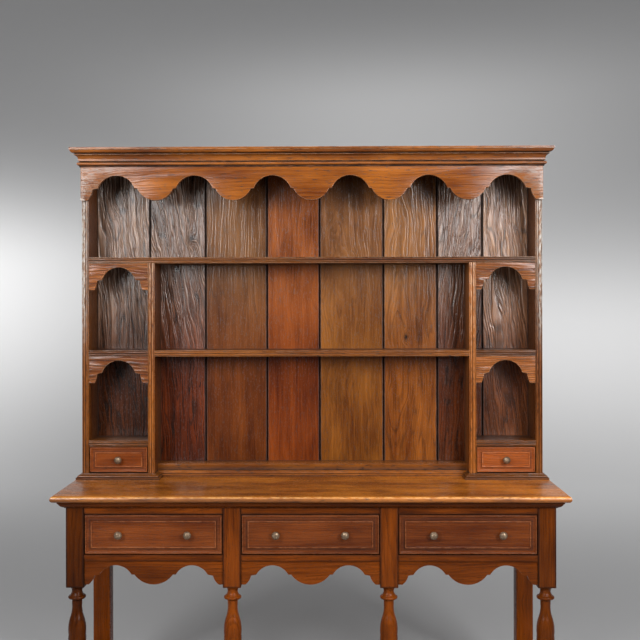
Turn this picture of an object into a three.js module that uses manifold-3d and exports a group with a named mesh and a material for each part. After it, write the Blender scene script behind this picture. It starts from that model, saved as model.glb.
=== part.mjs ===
// A welsh dresser: a plate rack with a scalloped frieze, on a base with three drawers and an open potboard.
// Millimetres, +Z up, the front faces -Y. The origin is on the floor under the middle of the top board.
import * as THREE from "three";
import { mergeVertices } from "three/addons/utils/BufferGeometryUtils.js";
import Module from "manifold-3d";

const wasm = await Module();
wasm.setup();

// Base: top board and the moulding under it
const boardLength = 1760;
const boardDepth = 496;
const boardThickness = 22;
const boardTopHeight = 810;
const boardOverhang = 44;
const underMouldHeight = 24;
const underMouldProjection = 24;

// Base: legs, with the part of a middle leg that passes in front of the through rails
const legSize = 62;
const legTongue = 17;
const footHeight = 80;
const lowerBlockHeight = 110;
const blockBelowApron = 10;
const legJointDepth = 6;

// Base: rails, apron, panels and drawer runners
const topRailShow = 22;
const drawerOpeningHeight = 140;
const drawerRailHeight = 22;
const railThickness = 40;
const railSetback = 2;
const apronDrop = 80;
const apronThickness = 22;
const apronSetback = 6;
const apronBridgeHeight = 20;
const panelSetback = 10;
const endPanelThickness = 22;
const backPanelThickness = 12;
const runnerWidth = 40;
const guideHeight = 28;
const guideGap = 1;
const backBarWidth = 24;

// Base: potboard
const potboardThickness = 22;
const potboardRailHeight = 22;
const potboardRailThickness = 22;
const potboardRailBottom = 88;
const potboardEdgeSetback = 4;

// Base drawers
const drawerSideGap = 1.5;
const drawerTopGap = 2;
const drawerRunGap = 0.5;
const drawerFrontThickness = 22;
const drawerFrontSetback = 1;
const drawerBoxInset = 2;
const drawerBackGap = 37;
const drawerBoxHeadroom = 24;
const drawerWall = 12;
const drawerFloor = 8;
const drawerBorder = 30;
const knobFromEnd = 118;

// Rack: outer sizes and boards
const rackEndSetback = 26;
const rackHeight = 1225;
const rackDepth = 154;
const uprightThickness = 25;
const sideBayWidth = 220;
const shelfThickness = 22;
const backBoardThickness = 15;
const backSeamWidth = 4;
const backSeamDepth = 9;
const rackTopThickness = 22;
const reedMargin = 3;
const reedDepth = 2.5;

// Rack: heights of the shelves' top faces above the top board
const topShelfRise = 823;
const middleShelfRise = 476.5;
const lowerShelfRise = 142;

// Rack: plinth under each side tier, and the ledge at the foot of the back
const plinthHeight = 21;
const plinthProjection = 20;
const ledgeThickness = 25;
const ledgeDepth = 73;
const ledgeMouldProjection = 8;
const ledgeEdgeRadius = 4;

// Rack: cornice and frieze
const corniceHeight = 69;
const corniceProjection = 35;
const friezeThickness = 20;
const friezeArches = 6;
const friezeCrown = 31.5;
const friezeCusp = 79;
const friezeDrop = 123;
const friezePendant = 132;
const friezeLobe = 20;
const friezeEndStep = 18;
const friezeStep = 10;

// Rack: small arches under the side shelves
const archThickness = 18;
const archSetback = 3;
const archCrown = 15;
const archCusp = 61;
const archDrop = 99.5;
const archFoot = 20;
const archLobe = 10;
const archEndStep = 18;

// Apron between the legs
const apronArches = 2;
const apronCrown = 14;
const apronCusp = 46;
const apronFoot = 14;
const apronLobe = 20;
const apronEndStep = 18;
const apronStep = 10;
const apronPendant = 132;

// Spice drawers
const spiceSideGap = 1.6;
const spiceTopGap = 2;
const spiceBottomGap = 1.5;
const spiceFrontThickness = 16;
const spiceFrontSetback = 1;
const spiceBoxInset = 1.4;
const spiceBackGap = 7;
const spiceBoxHeadroom = 15;
const spiceWall = 7;
const spiceFloor = 5;
const spiceBorder = 28;

// Fielded drawer fronts and turned knobs
const frontRelief = 5;
const knobDiameter = 28;
const knobLength = 26;

// Pieces that are cut to each other, and an overrun for cuts that leave a face
const fitGap = 0.3;
const overrun = 1;

// Fineness of round work
const arcSteps = 5;
const scallopSteps = 10;
const reedSteps = 4;
const turnSteps = 3;
const turnedSides = 16;
const knobSides = 12;
const nosingSteps = 6;

// Back boards: the seams between them, from the left side to the right, as shares of the inner width
const backSeamShares = [0.1227, 0.2524, 0.3951, 0.5171, 0.6651, 0.7895, 0.894];

// Moulding sections as [out, up, bulge] shares of projection and height.
// A bulge is an arc's rise over its chord.
const corniceSectionShares = [
  [0, 0],
  [0.12, 0],
  [0.12, 0.14],
  [0.24, 0.16],
  [0.24, 0.31, -0.4],
  [0.2, 0.33],
  [0.6, 0.63, 0.18],
  [0.66, 0.63],
  [0.66, 0.66],
  [0.92, 0.86, -0.2],
  [1, 0.88],
  [1, 1],
  [0, 1],
];
const underMouldSectionShares = [
  [0, 0],
  [0.16, 0],
  [0.24, 0.1],
  [0.86, 0.66, -0.12],
  [1, 0.7],
  [1, 1],
  [0, 1],
];
// Plinth edge, from the floor up
const plinthEdgeShares = [
  [1, 0],
  [1, 0.28],
  [0.84, 0.32],
  [0.84, 0.36],
  [0.5, 0.66, -0.25],
  [0.44, 0.7],
  [0.16, 1, 0.2],
];
// Drawer front: [inset, recess] shares of the border's width and the relief's depth
const frontProfileShares = [
  [0, 0.35],
  [0.05, 0],
  [0.19, 0],
  [0.24, 0.7],
  [0.42, 1],
  [0.66, 0.95],
  [0.69, 0.2],
  [0.75, 0],
  [0.85, 0.05],
  [0.92, 0.4],
  [1, 0.4],
];
// Turned leg between the two blocks: [radius, height, bulge] shares of half the leg and the turned length
const legTurnShares = [
  [0.9, 0],
  [0.62, 0.045, 0.15],
  [0.78, 0.075],
  [0.78, 0.115, -0.5],
  [0.6, 0.135],
  [0.56, 0.2],
  [0.8, 0.31, 0.08],
  [0.95, 0.44, -0.07],
  [0.7, 0.66, -0.06],
  [0.56, 0.8, 0.05],
  [0.56, 0.84],
  [0.78, 0.855],
  [0.78, 0.895, -0.5],
  [0.62, 0.92],
  [0.9, 1, 0.2],
];
// Turned foot, from the floor up
const footTurnShares = [
  [0.62, 0],
  [0.9, 0.45, -0.15],
  [0.62, 0.8, -0.15],
  [0.6, 0.88],
  [0.9, 1, 0.2],
];
// Knob, from the drawer's face out
const knobTurnShares = [
  [0.66, 0],
  [0.66, 0.07],
  [0.4, 0.14, 0.2],
  [0.36, 0.42],
  [0.9, 0.58, 0.12],
  [0.94, 0.74, -0.2],
  [0.3, 1, -0.12],
];

// Derived places, base
const backY = boardDepth / 2;
const frontY = boardOverhang - boardDepth / 2;
const carcassHalf = boardLength / 2 - boardOverhang;
const boardBottom = boardTopHeight - boardThickness;
const drawerOpeningTop = boardBottom - underMouldHeight - topRailShow;
const drawerRailTop = drawerOpeningTop - drawerOpeningHeight;
const drawerRailBottom = drawerRailTop - drawerRailHeight;
const apronBottom = drawerRailBottom - apronDrop;
const potboardBottom = potboardRailBottom + potboardRailHeight;
const legBack = frontY + legSize;
const outerLegCentre = carcassHalf - legSize / 2;
const legCentres = [-1, -1 / 3, 1 / 3, 1].map((share) => share * outerLegCentre);
const bayWidth = legCentres[1] - legCentres[0] - legSize;
const railFront = frontY + railSetback;
const tongueBack = frontY + legTongue;
const outerLegInner = outerLegCentre - legSize / 2;
const backLegFront = backY - legSize;
const backPanelFront = backY - panelSetback - backPanelThickness;
const endPanelInner = carcassHalf - panelSetback - endPanelThickness;
const drawerBoxHeight = drawerOpeningHeight - drawerBoxHeadroom;
const drawerBoxDepth = backPanelFront - drawerBackGap - frontY - drawerFrontSetback - drawerFrontThickness;

// Derived places, rack: heights count from the top board
const rackFront = backY - rackDepth;
const backBoardFront = backY - backBoardThickness;
const rackHalf = boardLength / 2 - rackEndSetback;
const sideInner = rackHalf - uprightThickness;
const uprightOuter = sideInner - sideBayWidth;
const uprightInner = uprightOuter - uprightThickness;
const rackTopUnder = rackHeight - rackTopThickness;
const ledgeFront = backBoardFront - ledgeDepth;
const ledgeTop = plinthHeight + ledgeThickness;
const corniceBottom = rackHeight - corniceHeight;
const topShelfUnder = topShelfRise - shelfThickness;
const middleShelfUnder = middleShelfRise - shelfThickness;
const lowerShelfUnder = lowerShelfRise - shelfThickness;
const spiceBoxHeight = lowerShelfUnder - plinthHeight - spiceBoxHeadroom;
const spiceBoxDepth = backBoardFront - spiceBackGap - rackFront - spiceFrontSetback - spiceFrontThickness;

// Finishes
function finish(color, roughness, metalness = 0) {
  return new THREE.MeshStandardMaterial({ color, roughness, metalness });
}
const rackWood = finish(0x6b3a1c, 0.45);
const backWood = finish(0x6a4a32, 0.55);
const boardWood = finish(0x8a4a20, 0.4);
const baseWood = finish(0x63320f, 0.45);
const frontWood = finish(0x8c4a28, 0.42);
const boxWood = finish(0x9a7448, 0.7);
const brass = finish(0x7d6a48, 0.4, 0.9);

// Points of a polyline from [u, v, bulge] entries: a bulge turns the stretch that ends there into an arc,
// and a positive one swells to the left of the way it is walked
function traced(entries, steps = arcSteps) {
  const points = [];
  for (const [u, v, bulge = 0] of entries) {
    const end = new THREE.Vector2(u, v);
    if (bulge !== 0) {
      const start = points[points.length - 1];
      const chord = end.clone().sub(start);
      const along = chord.clone().normalize();
      const left = new THREE.Vector2(-along.y, along.x).multiplyScalar(Math.sign(bulge));
      const rise = Math.abs(bulge) * chord.length();
      const radius = (chord.lengthSq() / 4 + rise * rise) / (2 * rise);
      const half = 2 * Math.atan(2 * Math.abs(bulge));
      const centre = start.clone().add(end).multiplyScalar(1 / 2).addScaledVector(left, rise - radius);
      for (let i = 1; i < steps; i += 1) {
        const angle = half * ((2 * i) / steps - 1);
        const point = centre.clone().addScaledVector(along, radius * Math.sin(angle));
        points.push(point.addScaledVector(left, radius * Math.cos(angle)));
      }
    }
    points.push(end);
  }
  return points;
}

// Shares of a width and a height turned into real sizes; a bulge keeps its shape only in real sizes
function sized(shares, width, height) {
  return shares.map(([u, v, bulge = 0]) => [u * width, v * height, bulge]);
}

// A flat outline pushed along one axis: x draws it in (y, z), y in (x, z) and z in (x, y)
function prism(points, axis, from, to) {
  const geometry = new THREE.ExtrudeGeometry(new THREE.Shape(points), { depth: 1, bevelEnabled: false });
  const place = geometry.getAttribute("position");
  for (let i = 0; i < place.count; i += 1) {
    const [u, v] = [place.getX(i), place.getY(i)];
    const far = place.getZ(i) > 1 / 2;
    if (axis === "x") place.setXYZ(i, far ? to : from, u, v);
    if (axis === "y") place.setXYZ(i, u, far ? from : to, v);
    if (axis === "z") place.setXYZ(i, u, v, far ? to : from);
  }
  return geometry;
}

function block(x0, x1, y0, y1, z0, z1) {
  const geometry = new THREE.BoxGeometry(1, 1, 1);
  const place = geometry.getAttribute("position");
  for (let i = 0; i < place.count; i += 1) {
    const [x, y, z] = [place.getX(i), place.getY(i), place.getZ(i)];
    place.setXYZ(i, x < 0 ? x0 : x1, y < 0 ? y0 : y1, z < 0 ? z0 : z1);
  }
  return geometry;
}

// A skin through rings of equal length, closed at both ends
function loft(rings) {
  const count = rings[0].length;
  const positions = rings.flat().flatMap((point) => point.toArray());
  const index = [];
  for (let ring = 0; ring + 1 < rings.length; ring += 1) {
    for (let i = 0; i < count; i += 1) {
      const [a, b] = [ring * count + i, ring * count + ((i + 1) % count)];
      index.push(a, b, b + count, a, b + count, a + count);
    }
  }
  const cap = capTriangles(rings[0]);
  const last = (rings.length - 1) * count;
  for (const [a, b, c] of cap) {
    index.push(a, c, b);
    index.push(last + a, last + b, last + c);
  }
  const geometry = new THREE.BufferGeometry();
  geometry.setAttribute("position", new THREE.Float32BufferAttribute(positions, 3));
  geometry.setIndex(index);
  return facingOut(geometry);
}

// Triangles over a flat ring, in the ring's own order
function capTriangles(ring) {
  const normal = new THREE.Vector3();
  ring.forEach((point, i) => {
    normal.add(new THREE.Vector3().crossVectors(point, ring[(i + 1) % ring.length]));
  });
  const turn = new THREE.Quaternion().setFromUnitVectors(normal.normalize(), new THREE.Vector3(0, 0, 1));
  const flat = ring.map((point) => {
    const laid = point.clone().applyQuaternion(turn);
    return new THREE.Vector2(laid.x, laid.y);
  });
  return THREE.ShapeUtils.triangulateShape(flat, []);
}

// Turns a closed skin so that its faces point out
function facingOut(geometry) {
  const place = geometry.getAttribute("position");
  const index = geometry.getIndex().array;
  const corner = (i) => new THREE.Vector3().fromBufferAttribute(place, index[i]);
  let volume = 0;
  for (let i = 0; i < index.length; i += 3) {
    volume += corner(i).dot(corner(i + 1).cross(corner(i + 2)));
  }
  if (volume < 0) geometry.setIndex(Array.from(index).reverse());
  return geometry;
}

// A moulding along a path in plan, mitred at its corners; its face is on the right of the way it is walked
function mouldingRun(path, section, bottom) {
  const along = path.slice(1).map((point, i) => point.clone().sub(path[i]).normalize());
  const outward = along.map((way) => new THREE.Vector2(way.y, -way.x));
  return loft(
    path.map((point, i) => {
      const before = outward[Math.max(i - 1, 0)];
      const after = outward[Math.min(i, outward.length - 1)];
      const mitre = before.clone().add(after).divideScalar(1 + before.dot(after));
      return section.map(({ x: out, y: up }) => {
        return new THREE.Vector3(point.x + mitre.x * out, point.y + mitre.y * out, bottom + up);
      });
    }),
  );
}

// A slab in plan whose front and side edges follow an edge profile of (out, height) points
function mouldedSlab(x0, x1, y0, y1, edge, outLeft = 1, outRight = 1) {
  return loft(
    edge.map(({ x: out, y: z }) => {
      const [left, right, front] = [x0 - out * outLeft, x1 + out * outRight, y0 - out];
      return [
        new THREE.Vector3(left, front, z),
        new THREE.Vector3(right, front, z),
        new THREE.Vector3(right, y1, z),
        new THREE.Vector3(left, y1, z),
      ];
    }),
  );
}

// A solid of revolution: entries of [radius, height], set on the Z axis from bottom up
function turned(entries, bottom, sides) {
  const profile = traced(entries, turnSteps);
  const top = profile[profile.length - 1].y;
  const closed = [new THREE.Vector2(0, profile[0].y), ...profile, new THREE.Vector2(0, top)];
  const geometry = new THREE.LatheGeometry(closed, sides);
  return geometry.rotateX(Math.PI / 2).translate(0, 0, bottom);
}

// Booleans
function solidOf(geometry) {
  const plain = geometry.clone();
  plain.deleteAttribute("normal");
  plain.deleteAttribute("uv");
  const merged = mergeVertices(plain, 1e-3);
  const index = merged.getIndex().array;
  const kept = [];
  for (let i = 0; i < index.length; i += 3) {
    const [a, b, c] = index.slice(i, i + 3);
    if (a !== b && b !== c && c !== a) kept.push(a, b, c);
  }
  return new wasm.Manifold(
    new wasm.Mesh({
      numProp: 3,
      vertProperties: merged.getAttribute("position").array,
      triVerts: new Uint32Array(kept),
    }),
  );
}

function geometryOf(solid) {
  const mesh = solid.getMesh();
  const geometry = new THREE.BufferGeometry();
  geometry.setAttribute("position", new THREE.BufferAttribute(mesh.vertProperties, 3));
  geometry.setIndex(new THREE.BufferAttribute(mesh.triVerts, 1));
  return geometry;
}

function joined(...geometries) {
  return geometryOf(geometries.map(solidOf).reduce((sum, next) => sum.add(next)));
}

function cut(geometry, ...tools) {
  return geometryOf(tools.map(solidOf).reduce((rest, tool) => rest.subtract(tool), solidOf(geometry)));
}

function piece(group, name, geometry, material) {
  geometry.computeVertexNormals();
  const mesh = new THREE.Mesh(geometry, material);
  mesh.name = name;
  group.add(mesh);
  return mesh;
}

// The scalloped lower edge of a board, from left to right: a foot, a half lobe and a sloping step at each end,
// and arches between, parted by round pendants with a small step on both sides.
// Depths count down from the board's top.
function scallopEdge({ from, to, arches, crown, cusp, drop, foot, lobe, endStep, step, pendant }) {
  const joints = (arches - 1) * (2 * step + pendant);
  const chord = (to - from - 2 * (foot + lobe + endStep) - joints) / arches;
  const tip = cusp + endStep / 5;
  const lobeRise = lobe / 6 / Math.hypot(lobe, drop - tip);
  let x = from + foot + lobe;
  const edge = [[from, -drop], [from + foot, -drop], [x, -tip, -lobeRise]];
  x += endStep;
  for (let i = 0; i < arches; i += 1) {
    edge.push([x, -cusp], [x + chord, -cusp, (cusp - crown) / chord]);
    x += chord;
    if (i + 1 < arches) {
      edge.push([x + step, -cusp], [x + step + pendant, -cusp, (cusp - drop) / pendant]);
      x += 2 * step + pendant;
    }
  }
  edge.push([x + endStep, -tip], [to - foot, -drop, -lobeRise], [to, -drop]);
  return edge;
}

function raised(entries, height) {
  return entries.map(([u, v, bulge = 0]) => [u, v + height, bulge]);
}

// Plan or section of a board with two reeds along its front edge: u across the board, v from front to back
function reededSection(thickness, depth) {
  const middle = thickness / 2;
  const reed = reedDepth / (middle - reedMargin);
  return traced(
    [
      [0, 0],
      [reedMargin, 0],
      [reedMargin, reedDepth],
      [middle, reedDepth, -reed],
      [thickness - reedMargin, reedDepth, -reed],
      [thickness - reedMargin, 0],
      [thickness, 0],
      [thickness, depth],
      [0, depth],
    ],
    reedSteps,
  );
}

function rackUpright(x0, depth, bottom, top) {
  const plan = reededSection(uprightThickness, depth);
  return prism(plan.map(({ x, y }) => new THREE.Vector2(x0 + x, rackFront + y)), "z", bottom, top);
}

function rackShelf(x0, x1, top) {
  const section = reededSection(shelfThickness, backBoardFront - rackFront);
  const outline = section.map(({ x, y }) => new THREE.Vector2(rackFront + y, top - shelfThickness + x));
  return prism(outline, "x", x0, x1);
}

// A drawer front with a lip, a hollow border and a beaded field; its face is at y = 0, its middle at x = 0
function fieldedFront(width, height, thickness, border) {
  const ring = (inset, y) => {
    const half = width / 2 - inset;
    return [
      new THREE.Vector3(-half, y, inset),
      new THREE.Vector3(half, y, inset),
      new THREE.Vector3(half, y, height - inset),
      new THREE.Vector3(-half, y, height - inset),
    ];
  };
  const face = frontProfileShares.map(([inset, recess]) => ring(inset * border, recess * frontRelief));
  return loft([ring(0, thickness), ...face]);
}

// A drawer box, open at the top and closed in front by the drawer's front
function drawerBox(width, height, depth, wall, floor) {
  const outer = block(-width / 2, width / 2, 0, depth, 0, height);
  const inner = block(wall - width / 2, width / 2 - wall, -overrun, depth - wall, floor, height + overrun);
  return cut(outer, inner);
}

function knob() {
  const entries = sized(knobTurnShares, knobDiameter / 2, knobLength);
  return turned(entries, 0, knobSides).rotateX(Math.PI / 2);
}

// The field's own depth behind the front's face, which a knob is set on
const fieldRecess = frontRelief * frontProfileShares[frontProfileShares.length - 1][1];

// Rack
const rack = new THREE.Group();
rack.position.z = boardTopHeight;

// The moulded foot of a side tier; its inner return dies into the moulding under the ledge
function plinth(side) {
  const [x0, x1] = side < 0 ? [-rackHalf, -uprightInner] : [uprightInner, rackHalf];
  const edge = traced(sized(plinthEdgeShares, plinthProjection, plinthHeight));
  const slab = mouldedSlab(x0, x1, rackFront, backY, edge);
  const reach = uprightInner - plinthProjection - overrun;
  const [c0, c1] = side < 0 ? [-uprightInner, -reach] : [reach, uprightInner];
  const stop = ledgeFront - ledgeMouldProjection - fitGap;
  return cut(slab, block(c0, c1, stop, backY + overrun, -overrun, plinthHeight + overrun));
}

for (const [side, word] of [
  [-1, "left"],
  [1, "right"],
]) {
  const sideX = side < 0 ? -rackHalf : sideInner;
  const uprightX = side < 0 ? -uprightOuter : uprightInner;
  const [bayFrom, bayTo] = side < 0 ? [-sideInner, -uprightOuter] : [uprightOuter, sideInner];
  piece(rack, `rack_${word}_side`, rackUpright(sideX, rackDepth, plinthHeight, rackTopUnder), rackWood);
  const uprightDepth = backBoardFront - rackFront;
  const upright = rackUpright(uprightX, uprightDepth, plinthHeight, topShelfUnder);
  piece(rack, `rack_${word}_upright`, upright, rackWood);
  piece(rack, `rack_${word}_upper_shelf`, rackShelf(bayFrom, bayTo, middleShelfRise), rackWood);
  piece(rack, `rack_${word}_lower_shelf`, rackShelf(bayFrom, bayTo, lowerShelfRise), rackWood);
  piece(rack, `rack_${word}_plinth`, plinth(side), rackWood);
  for (const [level, under] of [
    ["upper", topShelfUnder],
    ["lower", middleShelfUnder],
  ]) {
    const edge = scallopEdge({
      from: bayFrom,
      to: bayTo,
      arches: 1,
      crown: archCrown,
      cusp: archCusp,
      drop: archDrop,
      foot: archFoot,
      lobe: archLobe,
      endStep: archEndStep,
      step: 0,
      pendant: 0,
    });
    const outline = traced([[bayFrom, under], ...raised(edge, under), [bayTo, under]], scallopSteps);
    const archFront = rackFront + archSetback;
    const arch = prism(outline, "y", archFront, archFront + archThickness);
    piece(rack, `rack_${word}_${level}_arch`, arch, rackWood);
  }
}
piece(rack, "rack_top_shelf", rackShelf(-sideInner, sideInner, topShelfRise), rackWood);
piece(rack, "rack_middle_shelf", rackShelf(-uprightInner, uprightInner, middleShelfRise), rackWood);

const rackTop = block(-rackHalf, rackHalf, rackFront - friezeThickness, backY, rackTopUnder, rackHeight);
piece(rack, "rack_top_board", rackTop, rackWood);

function frieze() {
  const edge = scallopEdge({
    from: -sideInner,
    to: sideInner,
    arches: friezeArches,
    crown: friezeCrown,
    cusp: friezeCusp,
    drop: friezeDrop,
    foot: 0,
    lobe: friezeLobe,
    endStep: friezeEndStep,
    step: friezeStep,
    pendant: friezePendant,
  });
  const wide = [[-rackHalf, -friezeDrop], ...edge.slice(1, -1), [rackHalf, -friezeDrop]];
  const outline = [[-rackHalf, rackTopUnder], ...raised(wide, corniceBottom), [rackHalf, rackTopUnder]];
  return prism(traced(outline, scallopSteps), "y", rackFront - friezeThickness, rackFront);
}
piece(rack, "rack_frieze", frieze(), rackWood);

function cornice() {
  const section = traced(sized(corniceSectionShares, corniceProjection, corniceHeight));
  const front = rackFront - friezeThickness;
  const path = [
    new THREE.Vector2(-rackHalf, backY),
    new THREE.Vector2(-rackHalf, front),
    new THREE.Vector2(rackHalf, front),
    new THREE.Vector2(rackHalf, backY),
  ];
  return mouldingRun(path, section, corniceBottom);
}
piece(rack, "rack_cornice", cornice(), rackWood);

// The back: tongued boards with an open seam between neighbours, as one panel
function backBoards() {
  const plan = [[-sideInner, backY], [-sideInner, backBoardFront]];
  for (const share of backSeamShares) {
    const seam = sideInner * (2 * share - 1);
    const [from, to] = [seam - backSeamWidth / 2, seam + backSeamWidth / 2];
    const deep = backBoardFront + backSeamDepth;
    plan.push([from, backBoardFront], [from, deep], [to, deep], [to, backBoardFront]);
  }
  plan.push([sideInner, backBoardFront], [sideInner, backY]);
  return prism(traced(plan), "z", plinthHeight, rackTopUnder);
}
piece(rack, "rack_back_boards", backBoards(), backWood);

const ledgeSection = traced([
  [backBoardFront, plinthHeight],
  [ledgeFront, plinthHeight],
  [ledgeFront, ledgeTop - ledgeEdgeRadius],
  [ledgeFront + ledgeEdgeRadius, ledgeTop, (Math.SQRT2 - 1) / 2],
  [backBoardFront, ledgeTop],
]);
piece(rack, "rack_ledge", prism(ledgeSection, "x", -uprightInner, uprightInner), rackWood);

const centreEdge = traced(sized(plinthEdgeShares, ledgeMouldProjection, plinthHeight));
const centreHalf = uprightInner - fitGap;
const centrePlinth = mouldedSlab(-centreHalf, centreHalf, ledgeFront, backY, centreEdge, 0, 0);
piece(rack, "rack_centre_plinth", centrePlinth, rackWood);

// Spice drawers
const spiceWidth = sideBayWidth - 2 * spiceSideGap;
const spiceHeight = lowerShelfUnder - plinthHeight - spiceBottomGap - spiceTopGap;
for (const [side, word] of [
  [-1, "left"],
  [1, "right"],
]) {
  const drawer = new THREE.Group();
  const face = rackFront + spiceFrontSetback;
  drawer.position.set((side * (sideInner + uprightOuter)) / 2, face, plinthHeight + spiceBottomGap);
  rack.add(drawer);
  const front = fieldedFront(spiceWidth, spiceHeight, spiceFrontThickness, spiceBorder);
  piece(drawer, `${word}_spice_drawer_front`, front, frontWood);
  const boxWidth = spiceWidth - 2 * spiceBoxInset;
  const box = drawerBox(boxWidth, spiceBoxHeight, spiceBoxDepth, spiceWall, spiceFloor);
  const boxMesh = piece(drawer, `${word}_spice_drawer_box`, box, boxWood);
  boxMesh.position.set(0, spiceFrontThickness, drawerRunGap - spiceBottomGap);
  piece(drawer, `${word}_spice_knob`, knob(), brass).position.set(0, fieldRecess, spiceHeight / 2);
}

// Base
const base = new THREE.Group();

// The top board, with a half-round nosing along the front and both ends
function topBoard() {
  const radius = boardThickness / 2;
  const edge = [];
  for (let i = 0; i <= nosingSteps; i += 1) {
    const angle = Math.PI * (i / nosingSteps - 1 / 2);
    let z = boardTopHeight - radius * (1 - Math.sin(angle));
    if (i === 0) z = boardBottom;
    if (i === nosingSteps) z = boardTopHeight;
    edge.push(new THREE.Vector2(radius * Math.cos(angle), z));
  }
  const half = boardLength / 2 - radius;
  return mouldedSlab(-half, half, radius - boardDepth / 2, backY, edge);
}
piece(base, "base_top_board", topBoard(), boardWood);

function underMoulding() {
  const section = traced(sized(underMouldSectionShares, underMouldProjection, underMouldHeight));
  const path = [
    new THREE.Vector2(-carcassHalf, backY),
    new THREE.Vector2(-carcassHalf, frontY),
    new THREE.Vector2(carcassHalf, frontY),
    new THREE.Vector2(carcassHalf, backY),
  ];
  return mouldingRun(path, section, boardBottom - underMouldHeight);
}
piece(base, "base_top_moulding", underMoulding(), baseWood);

// Front legs: square blocks where rails meet them, turned between.
// The two middle legs are halved at the back, so that each rail runs through behind them in one piece.
function frontLeg(centre, halved) {
  const [x0, x1] = [centre - legSize / 2, centre + legSize / 2];
  const upperBlock = block(x0, x1, frontY, legBack, apronBottom - blockBelowApron, boardBottom);
  const lowerBlock = block(x0, x1, frontY, legBack, footHeight, footHeight + lowerBlockHeight);
  const turnedLength = apronBottom - blockBelowApron - footHeight - lowerBlockHeight;
  const middle = frontY + legSize / 2;
  const shaftEntries = sized(legTurnShares, legSize / 2, turnedLength);
  const [start, end] = [shaftEntries[0], shaftEntries[shaftEntries.length - 1]];
  const seated = [[start[0], -legJointDepth], ...shaftEntries, [end[0], turnedLength + legJointDepth]];
  const shaft = turned(seated, footHeight + lowerBlockHeight, turnedSides).translate(centre, middle, 0);
  const footEntries = sized(footTurnShares, legSize / 2, footHeight);
  const footTop = [footEntries[footEntries.length - 1][0], footHeight + legJointDepth];
  const foot = turned([...footEntries, footTop], 0, turnedSides).translate(centre, middle, 0);
  const whole = joined(upperBlock, lowerBlock, shaft, foot);
  if (!halved) return whole;
  const notch = (low, high) =>
    block(x0 - overrun, x1 + overrun, tongueBack, legBack + overrun, low - fitGap, high + fitGap);
  return cut(
    whole,
    notch(drawerOpeningTop, boardBottom + overrun),
    notch(drawerRailBottom - apronBridgeHeight, drawerRailTop),
    notch(potboardRailBottom, potboardBottom),
  );
}
["left", "mid_left", "mid_right", "right"].forEach((word, i) => {
  const halved = i === 1 || i === 2;
  piece(base, `base_front_leg_${word}`, frontLeg(legCentres[i], halved), baseWood);
});
for (const [side, word] of [
  [-1, "left"],
  [1, "right"],
]) {
  const [x0, x1] = side < 0 ? [-carcassHalf, -outerLegInner] : [outerLegInner, carcassHalf];
  piece(base, `base_back_leg_${word}`, block(x0, x1, backLegFront, backY, 0, boardBottom), baseWood);
}

// A rail from outer leg to outer leg, thinner where it passes behind the middle legs
function throughRail(thickness, bottom, top) {
  const end = outerLegInner - fitGap;
  const back = railFront + thickness;
  const behind = tongueBack + fitGap;
  const plan = [[-end, back], [-end, railFront]];
  for (const centre of legCentres.slice(1, 3)) {
    const [from, to] = [centre - legSize / 2 - fitGap, centre + legSize / 2 + fitGap];
    plan.push([from, railFront], [from, behind], [to, behind], [to, railFront]);
  }
  plan.push([end, railFront], [end, back]);
  return prism(traced(plan), "z", bottom, top);
}
piece(base, "base_top_rail", throughRail(railThickness, drawerOpeningTop, boardBottom), baseWood);
piece(base, "base_drawer_rail", throughRail(railThickness, drawerRailBottom, drawerRailTop), baseWood);
const potboardRail = throughRail(potboardRailThickness, potboardRailBottom, potboardBottom);
piece(base, "potboard_front_rail", potboardRail, baseWood);

// The apron: one scalloped board under the drawer rail, bridged behind the middle legs
function apron() {
  const outline = [];
  legCentres.slice(0, 3).forEach((centre, i) => {
    const from = centre + legSize / 2 + fitGap;
    const to = legCentres[i + 1] - legSize / 2 - fitGap;
    const edge = scallopEdge({
      from,
      to,
      arches: apronArches,
      crown: apronCrown,
      cusp: apronCusp,
      drop: apronDrop,
      foot: apronFoot,
      lobe: apronLobe,
      endStep: apronEndStep,
      step: apronStep,
      pendant: apronPendant,
    });
    if (i > 0) outline.push([from, drawerRailBottom - apronBridgeHeight]);
    outline.push(...raised(edge, drawerRailBottom));
    if (i < 2) outline.push([to, drawerRailBottom - apronBridgeHeight]);
  });
  const end = outerLegInner - fitGap;
  outline.push([end, drawerRailBottom], [-end, drawerRailBottom]);
  const front = frontY + apronSetback;
  const board = prism(traced(outline, scallopSteps), "y", front, front + apronThickness);
  const passes = legCentres.slice(1, 3).map((centre) => {
    const reach = legSize / 2 + fitGap;
    const behind = tongueBack + fitGap;
    const top = drawerRailBottom + overrun;
    return block(centre - reach, centre + reach, front - overrun, behind, apronBottom, top);
  });
  return cut(board, ...passes);
}
piece(base, "base_apron", apron(), baseWood);

for (const [side, word] of [
  [-1, "left"],
  [1, "right"],
]) {
  const outer = carcassHalf - panelSetback;
  const [x0, x1] = side < 0 ? [-outer, -endPanelInner] : [endPanelInner, outer];
  const [y0, y1] = [legBack + fitGap, backLegFront - fitGap];
  piece(base, `base_${word}_end_panel`, block(x0, x1, y0, y1, drawerRailBottom, boardBottom), baseWood);
  const railOuter = carcassHalf - railSetback;
  const railInner = railOuter - potboardRailThickness;
  const [r0, r1] = side < 0 ? [-railOuter, -railInner] : [railInner, railOuter];
  piece(base, `potboard_${word}_rail`, block(r0, r1, y0, y1, potboardRailBottom, potboardBottom), baseWood);
}
const innerEnd = outerLegInner - fitGap;
const backPanelBack = backPanelFront + backPanelThickness;
const backPanel = block(-innerEnd, innerEnd, backPanelFront, backPanelBack, drawerRailBottom, boardBottom);
piece(base, "base_back_panel", backPanel, baseWood);
const backRailBack = backY - railSetback;
const backRailFront = backRailBack - potboardRailThickness;
const backRailSpan = [-innerEnd, innerEnd, backRailFront, backRailBack];
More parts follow.
